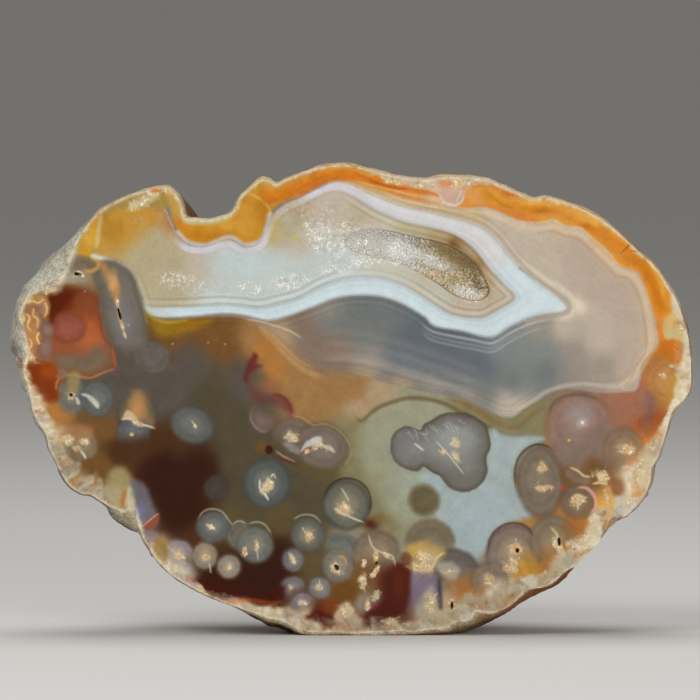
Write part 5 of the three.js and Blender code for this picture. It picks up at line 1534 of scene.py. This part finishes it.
class Nodes:
    """A material's node tree, built from short calls."""

    def __init__(self, name):
        self.material = bpy.data.materials.new(name)
        self.material.use_nodes = True
        self.tree = self.material.node_tree
        self.surface = self.tree.nodes["Principled BSDF"]

    def put(self, socket, value):
        if isinstance(value, bpy.types.NodeSocket):
            self.tree.links.new(value, socket)
        else:
            socket.default_value = value

    def attribute(self, name):
        node = self.tree.nodes.new("ShaderNodeAttribute")
        node.attribute_name = name
        return node

    def split(self, name):
        node = self.tree.nodes.new("ShaderNodeSeparateXYZ")
        self.put(node.inputs[0], self.attribute(name).outputs["Vector"])
        return node.outputs

    def place(self):
        return self.tree.nodes.new("ShaderNodeTexCoord").outputs["Object"]

    def math(self, operation, a, b=0.0, clamp=False):
        node = self.tree.nodes.new("ShaderNodeMath")
        node.operation = operation
        node.use_clamp = clamp
        self.put(node.inputs[0], a)
        self.put(node.inputs[1], b)
        return node.outputs[0]

    def span(self, value, low, high, to_low=0.0, to_high=1.0):
        node = self.tree.nodes.new("ShaderNodeMapRange")
        node.interpolation_type = "SMOOTHSTEP"
        for socket, given in zip(node.inputs, (value, low, high, to_low, to_high)):
            self.put(socket, given)
        return node.outputs[0]

    def noise(self, size, detail=3.0, rough=0.55):
        """Noise from 0 to 1, with lumps of the given size in millimetres."""
        node = self.tree.nodes.new("ShaderNodeTexNoise")
        self.put(node.inputs["Vector"], self.place())
        node.inputs["Scale"].default_value = 1 / (size * MM)
        node.inputs["Detail"].default_value = detail
        node.inputs["Roughness"].default_value = rough
        return node.outputs["Fac"]

    def cells(self, size):
        node = self.tree.nodes.new("ShaderNodeTexVoronoi")
        self.put(node.inputs["Vector"], self.place())
        node.inputs["Scale"].default_value = 1 / (size * MM)
        return node.outputs

    def ramp(self, value, stops):
        """Grey or colour stops: (place, value), as the eye sees them for colours and linear for greys."""
        node = self.tree.nodes.new("ShaderNodeValToRGB")
        elements = node.color_ramp.elements
        while len(elements) < len(stops):
            elements.new(0.5)
        for element, (at, value_there) in zip(elements, stops):
            element.position = at
            grey = isinstance(value_there, (int, float))
            element.color = (*([value_there] * 3 if grey else linear(value_there)), 1)
        self.put(node.inputs["Fac"], value)
        return node.outputs["Color"]

    def mix(self, amount, a, b, blend="MIX"):
        node = self.tree.nodes.new("ShaderNodeMix")
        node.data_type = "RGBA"
        node.blend_type = blend
        self.put(node.inputs["Factor"], amount)
        for socket, value in ((node.inputs[6], a), (node.inputs[7], b)):
            self.put(socket, value if isinstance(value, bpy.types.NodeSocket) else (*linear(value), 1))
        return node.outputs[2]

    def grey(self, value):
        """A number as a grey colour, to multiply with."""
        node = self.tree.nodes.new("ShaderNodeCombineXYZ")
        for socket in node.inputs:
            self.put(socket, value)
        return node.outputs[0]

    def bump(self, height, distance, strength=1.0, normal=None):
        node = self.tree.nodes.new("ShaderNodeBump")
        node.inputs["Strength"].default_value = strength
        node.inputs["Distance"].default_value = distance * MM
        self.put(node.inputs["Height"], height)
        if normal is not None:
            self.put(node.inputs["Normal"], normal)
        return node.outputs["Normal"]


def polished_material():
    n = Nodes("polished_agate")
    colour = n.attribute("paint").outputs["Color"]
    outer_room, inner_room, rim_at = n.split("growth")
    lines, sparkle, crust_share = n.split("cover")
    stray = n.math("MULTIPLY", n.math("SUBTRACT", n.noise(1.2, 2.0), 0.5), 1.4)
    out = n.math("ADD", outer_room, stray)
    inn = n.math("ADD", inner_room, stray)

    # The white band, from its outer edge to its inner one.
    way = n.math("DIVIDE", out, n.math("MAXIMUM", n.math("SUBTRACT", out, inn), 0.01))
    band = n.ramp(way, [(0.0, 0.66), (0.06, 0.80), (0.14, 0.94), (0.28, 1.0), (0.5, 0.96), (0.58, 0.90),
                        (0.66, 0.97), (0.78, 0.92), (0.84, 0.78), (0.89, 0.86), (0.95, 0.76), (1.0, 0.74)])
    in_band = n.math("MULTIPLY", n.span(out, -0.6, 0.4), n.span(inn, 0.4, -0.6))
    colour = n.mix(n.math("MULTIPLY", in_band, lines), colour, n.mix(1.0, colour, band, "MULTIPLY"))
    # Fine lines on both sides of it.
    outside = n.ramp(n.math("DIVIDE", out, -20.0), [(0.0, 1.02), (0.12, 1.04), (0.17, 0.87), (0.24, 0.90),
        (0.30, 1.09), (0.40, 1.06), (0.46, 0.94), (0.56, 0.97), (0.63, 1.05), (0.70, 0.99), (1.0, 1.0)])
    beyond = n.math("MULTIPLY", n.span(out, 0.3, -0.5), lines)
    colour = n.mix(beyond, colour, n.mix(1.0, colour, outside, "MULTIPLY"))
    within = n.ramp(n.math("DIVIDE", inn, 20.0), [(0.0, 0.82), (0.1, 0.84), (0.17, 1.12), (0.3, 1.15),
        (0.36, 0.86), (0.45, 0.86), (0.52, 1.08), (0.62, 1.0), (1.0, 1.0)])
    colour = n.mix(n.math("MULTIPLY", n.span(inn, -0.4, 0.4), lines), colour,
        n.mix(1.0, colour, within, "MULTIPLY"))
    # Growth lines between the band and the rim of the banded part.
    ripple = n.math("ADD", rim_at, n.math("MULTIPLY", n.math("SUBTRACT", n.noise(4.0, 3.0), 0.5), 0.05))
    growing = n.ramp(ripple, [(0.40, 1.0), (0.47, 0.94), (0.54, 1.04), (0.62, 0.98), (0.68, 1.10),
        (0.73, 1.13), (0.78, 1.0), (0.82, 1.10), (0.85, 1.02), (0.88, 0.95), (0.905, 1.10), (0.925, 1.0),
        (0.94, 0.92), (0.952, 1.12), (0.965, 0.88), (0.976, 1.12), (0.986, 0.80), (1.0, 0.92)])
    inside_rim = n.math("MULTIPLY", n.span(rim_at, 1.06, 1.0), n.span(out, 0.0, -2.0))
    amount = n.math("MULTIPLY", inside_rim, lines)
    colour = n.mix(amount, colour, n.mix(1.0, colour, growing, "MULTIPLY"))

    # Crystals inside the clear quartz: a pale veil, painted glints where facets catch the light, and darker
    # specks.
    veil = n.span(n.noise(2.0, 4.0, 0.6), 0.42, 0.62)
    colour = n.mix(n.math("MULTIPLY", n.math("MULTIPLY", sparkle, veil), 0.4), colour, (212, 209, 200))
    facet = n.tree.nodes.new("ShaderNodeSeparateXYZ")
    n.put(facet.inputs[0], n.cells(0.18)["Color"])
    patches = n.span(n.noise(0.8, 5.0, 0.72), 0.45, 0.58)
    # Painted glints: white flecks in the base colour where crystal facets catch the light.
    painted_glint = n.math("MULTIPLY", n.span(facet.outputs[0], 0.3, 0.9), patches)
    painted_glint = n.math("MULTIPLY", painted_glint, n.span(sparkle, 0.0, 0.5))
    colour = n.mix(painted_glint, colour, (238, 236, 228))
    shade = n.math("MULTIPLY", n.span(n.noise(0.7, 4.0, 0.7), 0.5, 0.64), n.math("MULTIPLY", sparkle, 0.35))
    colour = n.mix(shade, colour, (136, 126, 104))

    # The pale crust along the rim: cream, white and orange crumbs.
    crumbs = n.ramp(n.noise(1.5, 3.0, 0.6), [
        (0.30, (140, 100, 62)), (0.40, (186, 140, 92)), (0.48, (192, 170, 132)), (0.55, (206, 192, 160)),
        (0.64, (186, 178, 158)), (0.75, (214, 208, 194))])
    ragged = n.math("MULTIPLY", crust_share, n.span(n.noise(0.7, 3.0, 0.6), 0.3, 0.6))
    colour = n.mix(n.math("MULTIPLY", ragged, 0.16), colour, crumbs)

    # A fine cloudiness all over.
    cloud = n.math("MULTIPLY_ADD", n.noise(0.5, 3.0, 0.6), 0.22)
    cloud.node.inputs[2].default_value = 0.89
    colour = n.mix(1.0, colour, n.grey(cloud), "MULTIPLY")
    n.put(n.surface.inputs["Base Color"], colour)
    dullness = n.math("ADD", ragged, n.math("MULTIPLY", painted_glint, 0.2))
    n.put(n.surface.inputs["Roughness"], n.span(dullness, 0.2, 0.9, 0.1, 0.55))
    n.surface.inputs["Specular IOR Level"].default_value = 0.12
    dents = n.bump(n.noise(0.6, 3.0, 0.6), 0.02, 0.15)
    relief = n.math("MULTIPLY", ragged, n.noise(0.35, 2.0))
    n.put(n.surface.inputs["Normal"], n.bump(relief, 0.12, 0.6, dents))
    return n.material


def rind_material():
    n = Nodes("rough_rind")
    colour = n.attribute("paint").outputs["Color"]
    grain = n.noise(0.5, 5.0, 0.7)
    colour = n.mix(1.0, colour, n.ramp(grain, [(0.3, 0.55), (0.5, 1.0), (0.7, 1.3)]), "MULTIPLY")
    crumbs = n.ramp(n.noise(0.22, 3.0, 0.6), [(0.35, 0.7), (0.5, 1.0), (0.66, 1.2)])
    colour = n.mix(0.8, colour, n.mix(1.0, colour, crumbs, "MULTIPLY"))
    iron = n.math("MULTIPLY", n.span(n.noise(3.2, 4.0, 0.6), 0.55, 0.68), 0.5)
    colour = n.mix(iron, colour, (150, 84, 38))
    n.put(n.surface.inputs["Base Color"], colour)
    n.put(n.surface.inputs["Roughness"], n.span(grain, 0.35, 0.65, 0.95, 0.62))
    n.surface.inputs["Specular IOR Level"].default_value = 0.3
    coarse = n.bump(n.noise(2.0, 5.0, 0.65), 0.9, 0.8)
    pits = n.bump(n.cells(0.5)["Distance"], 0.12, 0.5, coarse)
    n.put(n.surface.inputs["Normal"], n.bump(grain, 0.14, 0.8, pits))
    return n.material


def wall_material():
    n = Nodes("hollow_wall")
    colour = n.attribute("paint").outputs["Color"]
    grain = n.noise(0.4, 4.0, 0.65)
    colour = n.mix(1.0, colour, n.ramp(grain, [(0.3, 0.6), (0.5, 1.0), (0.7, 1.25)]), "MULTIPLY")
    n.put(n.surface.inputs["Base Color"], colour)
    n.put(n.surface.inputs["Roughness"], n.span(grain, 0.3, 0.7, 0.3, 0.7))
    n.put(n.surface.inputs["Normal"], n.bump(grain, 0.15, 0.8))
    return n.material


def quartz_material():
    n = Nodes("quartz_crystals")
    colour = n.attribute("paint").outputs["Color"]
    veil = n.noise(0.5, 3.0, 0.6)
    colour = n.mix(1.0, colour, n.ramp(veil, [(0.3, 0.9), (0.5, 1.0), (0.7, 1.08)]), "MULTIPLY")
    n.put(n.surface.inputs["Base Color"], colour)
    n.put(n.surface.inputs["Roughness"], n.span(veil, 0.35, 0.65, 0.05, 0.22))
    n.surface.inputs["IOR"].default_value = 1.54
    n.surface.inputs["Transmission Weight"].default_value = 0.05
    n.put(n.surface.inputs["Normal"], n.bump(veil, 0.02, 0.2))
    return n.material


for make in (polished_material, rind_material, wall_material):
    stone.data.materials.append(make())
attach(stone, "root")
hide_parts("agate")


# The crystals of the hollow, on a thin closed bed along its wall.
BED_COLUMNS = 130
BED_FOOT, BED_TOP = 0.07, 0.30
CRYSTAL_COUNT, CRYSTAL_SEED = 2500, 23
CRYSTAL_LEAN, CRYSTAL_FORWARD = 0.30, 0.5
SUNK_SHARE, SHOULDER_SHARE = 0.3, 0.28


def bed_mesh():
    count = BED_COLUMNS
    ring = resample(spline(HOLLOW_EDGE, True), count, True)
    levels = [(share, BED_FOOT) for share in (0.84, 0.6, 0.4, 0.22, 0.1, 0.05)]
    levels += [(share, BED_TOP) for share in (0.06, 0.1, 0.2, 0.32, 0.46, 0.6, 0.74, 0.86)]
    points, tris = [], []
    for k, (share, lift) in enumerate(levels):
        spot, depth = wall_points(ring, share, lift)
        if lift == BED_TOP:
            depth = depth - np.abs(rough(spot, 4, 41, 2)) * 0.35 * min(1, share * 3)
        points.append(to_world(spot) + np.stack([0 * depth, np.maximum(depth, 0.12) * MM, 0 * depth], 1))
        if k:
            near = [(k - 1) * count + i for i in range(count)]
            tris += stitch(near, [k * count + i for i in range(count)])
    first, last = ladder(points[0]), ladder(points[-1])
    tris = np.vstack([np.array(tris)[:, ::-1], first[:, ::-1], last + (len(levels) - 1) * count])
    return np.vstack(points), tris


def crystal(root, axis, radius, height, turn):
    """A six-sided prism with a pointed end, sunk a little into its bed."""
    axis = axis / np.linalg.norm(axis)
    side = np.cross(axis, [0.3, 0.1, 0.95])
    side /= np.linalg.norm(side)
    other = np.cross(axis, side)
    around = turn + np.arange(6) * math.pi / 3
    ring = (np.cos(around)[:, None] * side + np.sin(around)[:, None] * other) * radius
    foot = root - axis * SUNK_SHARE * height
    shoulder = root + axis * height * SHOULDER_SHARE
    points = np.vstack([foot + ring, shoulder + ring * 0.94, root + axis * height])
    tris = [(i, (i + 1) % 6, 6 + (i + 1) % 6) for i in range(6)]
    tris += [(i, 6 + (i + 1) % 6, 6 + i) for i in range(6)]
    tris += [(6 + i, 6 + (i + 1) % 6, 12) for i in range(6)] + [(0, i + 1, i) for i in range(1, 5)]
    return points, np.array(tris)


def druse_mesh():
    points, tris = bed_mesh()
    seen_from = 5 * BED_COLUMNS
    corners = points[tris]
    normal = np.cross(corners[:, 1] - corners[:, 0], corners[:, 2] - corners[:, 0])
    size = np.linalg.norm(normal, axis=1)
    seen = np.where((tris.min(1) >= seen_from) & (size > 1e-14))[0]
    rng = np.random.default_rng(CRYSTAL_SEED)
    chosen = rng.choice(seen, CRYSTAL_COUNT, p=size[seen] / size[seen].sum())
    parts, faces_of, colours, first = [points], [tris], [], len(points)
    colours.append(crystal_colour(to_grid(points), np.full(len(points), 0.3), 1.0))
    for tri in chosen:
        weights = rng.dirichlet((1, 1, 1))
        root = weights @ corners[tri]
        lean = rng.normal(0, CRYSTAL_LEAN, 3)
        axis = normal[tri] / size[tri] + lean + [0, -CRYSTAL_FORWARD, 0]
        axis /= np.linalg.norm(axis)
        spot = to_grid(root[None])
        stature = mix(0.42, 1.0, smoothstep(372, 436, spot[0, 0]))
        stature *= 1 - 0.65 * soft_field(spot, BARE_WALL)[0]
        big = rng.random() ** 2
        radius = mix(0.10, 0.30, big) * MM * math.sqrt(stature)
        height = mix(0.30, 1.10, big * 0.6 + 0.4 * rng.random()) * MM * stature
        room = root[1] - FACE_Y - 0.08 * MM - radius
        if room < 0.15 * MM:
            continue
        if axis[1] < 0:
            height = min(height, room / -axis[1])
        if height < radius * 1.1:
            radius = height / 1.2
        some, its = crystal(root, axis, radius, height, rng.random() * 2)
        parts.append(some)
        faces_of.append(its + first)
        first += len(some)
        tip = np.r_[np.zeros(6), np.full(6, 0.5), 1.0]
        colours.append(crystal_colour(np.repeat(spot, len(some), 0), tip, mix(0.9, 1.0, rng.random())))
    return np.vstack(parts), np.vstack(faces_of), np.vstack(colours)


# Where the crystals are short and brown, at the upper right of the hollow, and where they are whitest.
BARE_WALL = [((456, 252), (34, 12), 34, 1.0)]
WHITE_CRYSTALS = [((402, 250), (17, 13), 15, 0.9), ((432, 261), (26, 8), 28, 1.0),
    ((468, 294), (18, 8), 12, 1.0)]


def crystal_colour(spots, tip, tone):
    """Colours by place and by how near the tip they are: pale at the left, brown at the right."""
    pale = mix([196.0, 192, 180], [244.0, 241, 233], tip[:, None])
    brown = mix([196.0, 172, 126], [240.0, 226, 194], tip[:, None])
    white = soft_field(spots, WHITE_CRYSTALS)
    pale = mix(pale, [252, 251, 247], white[:, None])
    share = smoothstep(408, 436, spots[:, 0]) * (1 - 0.85 * white)
    rgb = mix(pale, brown, share[:, None])
    return mix(rgb, [178, 152, 104], (soft_field(spots, BARE_WALL) * 0.7)[:, None]) * tone


points, tris, colours = druse_mesh()
druse = make_object("quartz_druse", points, tris)
set_colours(druse, "paint", colours)
druse.data.materials.append(quartz_material())
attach(druse, "root")
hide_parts("quartz_crust")


# Floor, light and camera.
FLOOR_COLOUR, FLOOR_ROUGHNESS = (0.70, 0.69, 0.67, 1), 0.7
FLOOR_LEFT, FLOOR_RIGHT, FLOOR_FRONT, FLOOR_BEHIND = -3.0, 3.0, -3.0, 30.0
WORLD_COLOUR, WORLD_STRENGTH = (1.0, 0.97, 0.93, 1), 0.23
LAMPS = [
    ("key", (-0.35, -0.55, 0.62), 2.4, 0.4), ("fill", (0.20, -0.90, 0.20), 3.8, 0.3),
    ("top", (0.0, 0.15, 0.8), 2.8, 0.5),
]
LAMP_AIM = (0, 0, 0.035)
LENS, SENSOR, CAMERA_TILT = 600, 36, math.radians(2.2)
# The photo's side and middle, and the place in it that the camera looks at, in squares of the grid.
PHOTO_SIDE, PHOTO_MIDDLE, AIM_PLACE = 700, 350, (350, 396)


def floor_and_light():
    mesh = bpy.data.meshes.new("floor")
    corners = [
        (FLOOR_LEFT, FLOOR_FRONT, 0), (FLOOR_RIGHT, FLOOR_FRONT, 0), (FLOOR_RIGHT, FLOOR_BEHIND, 0),
        (FLOOR_LEFT, FLOOR_BEHIND, 0),
    ]
    mesh.from_pydata(corners, [], [(0, 1, 2, 3)])
    floor = bpy.data.objects.new("floor", mesh)
    bpy.context.scene.collection.objects.link(floor)
    n = Nodes("pale_floor")
    n.surface.inputs["Base Color"].default_value = FLOOR_COLOUR
    n.surface.inputs["Roughness"].default_value = FLOOR_ROUGHNESS
    mesh.materials.append(n.material)
    world = bpy.data.worlds.new("studio")
    bpy.context.scene.world = world
    world.use_nodes = True
    world.node_tree.nodes["Background"].inputs["Color"].default_value = WORLD_COLOUR
    world.node_tree.nodes["Background"].inputs["Strength"].default_value = WORLD_STRENGTH
    for name, place, power, size in LAMPS:
        light = bpy.data.lights.new(name, "AREA")
        light.energy = power
        light.size = size
        lamp = bpy.data.objects.new(name, light)
        lamp.location = place
        aim = Vector(LAMP_AIM) - Vector(place)
        lamp.rotation_euler = aim.to_track_quat("-Z", "Y").to_euler()
        bpy.context.scene.collection.objects.link(lamp)


def add_camera():
    data = bpy.data.cameras.new("camera")
    data.lens = LENS
    data.sensor_width = SENSOR
    camera = bpy.data.objects.new("camera", data)
    bpy.context.scene.collection.objects.link(camera)
    distance = PHOTO_SIDE * SQUARE * LENS / SENSOR
    aim = to_world([AIM_PLACE])[0]
    back, up = distance * math.cos(CAMERA_TILT), distance * math.sin(CAMERA_TILT)
    camera.location = (aim[0], aim[1] - back, aim[2] + up)
    camera.rotation_euler = (math.pi / 2 - CAMERA_TILT, 0, 0)
    data.shift_y = (AIM_PLACE[1] - PHOTO_MIDDLE) / PHOTO_SIDE
    data.clip_start = 0.01
    bpy.context.scene.camera = camera


floor_and_light()
add_camera()
bpy.context.scene.view_settings.view_transform = "Standard"
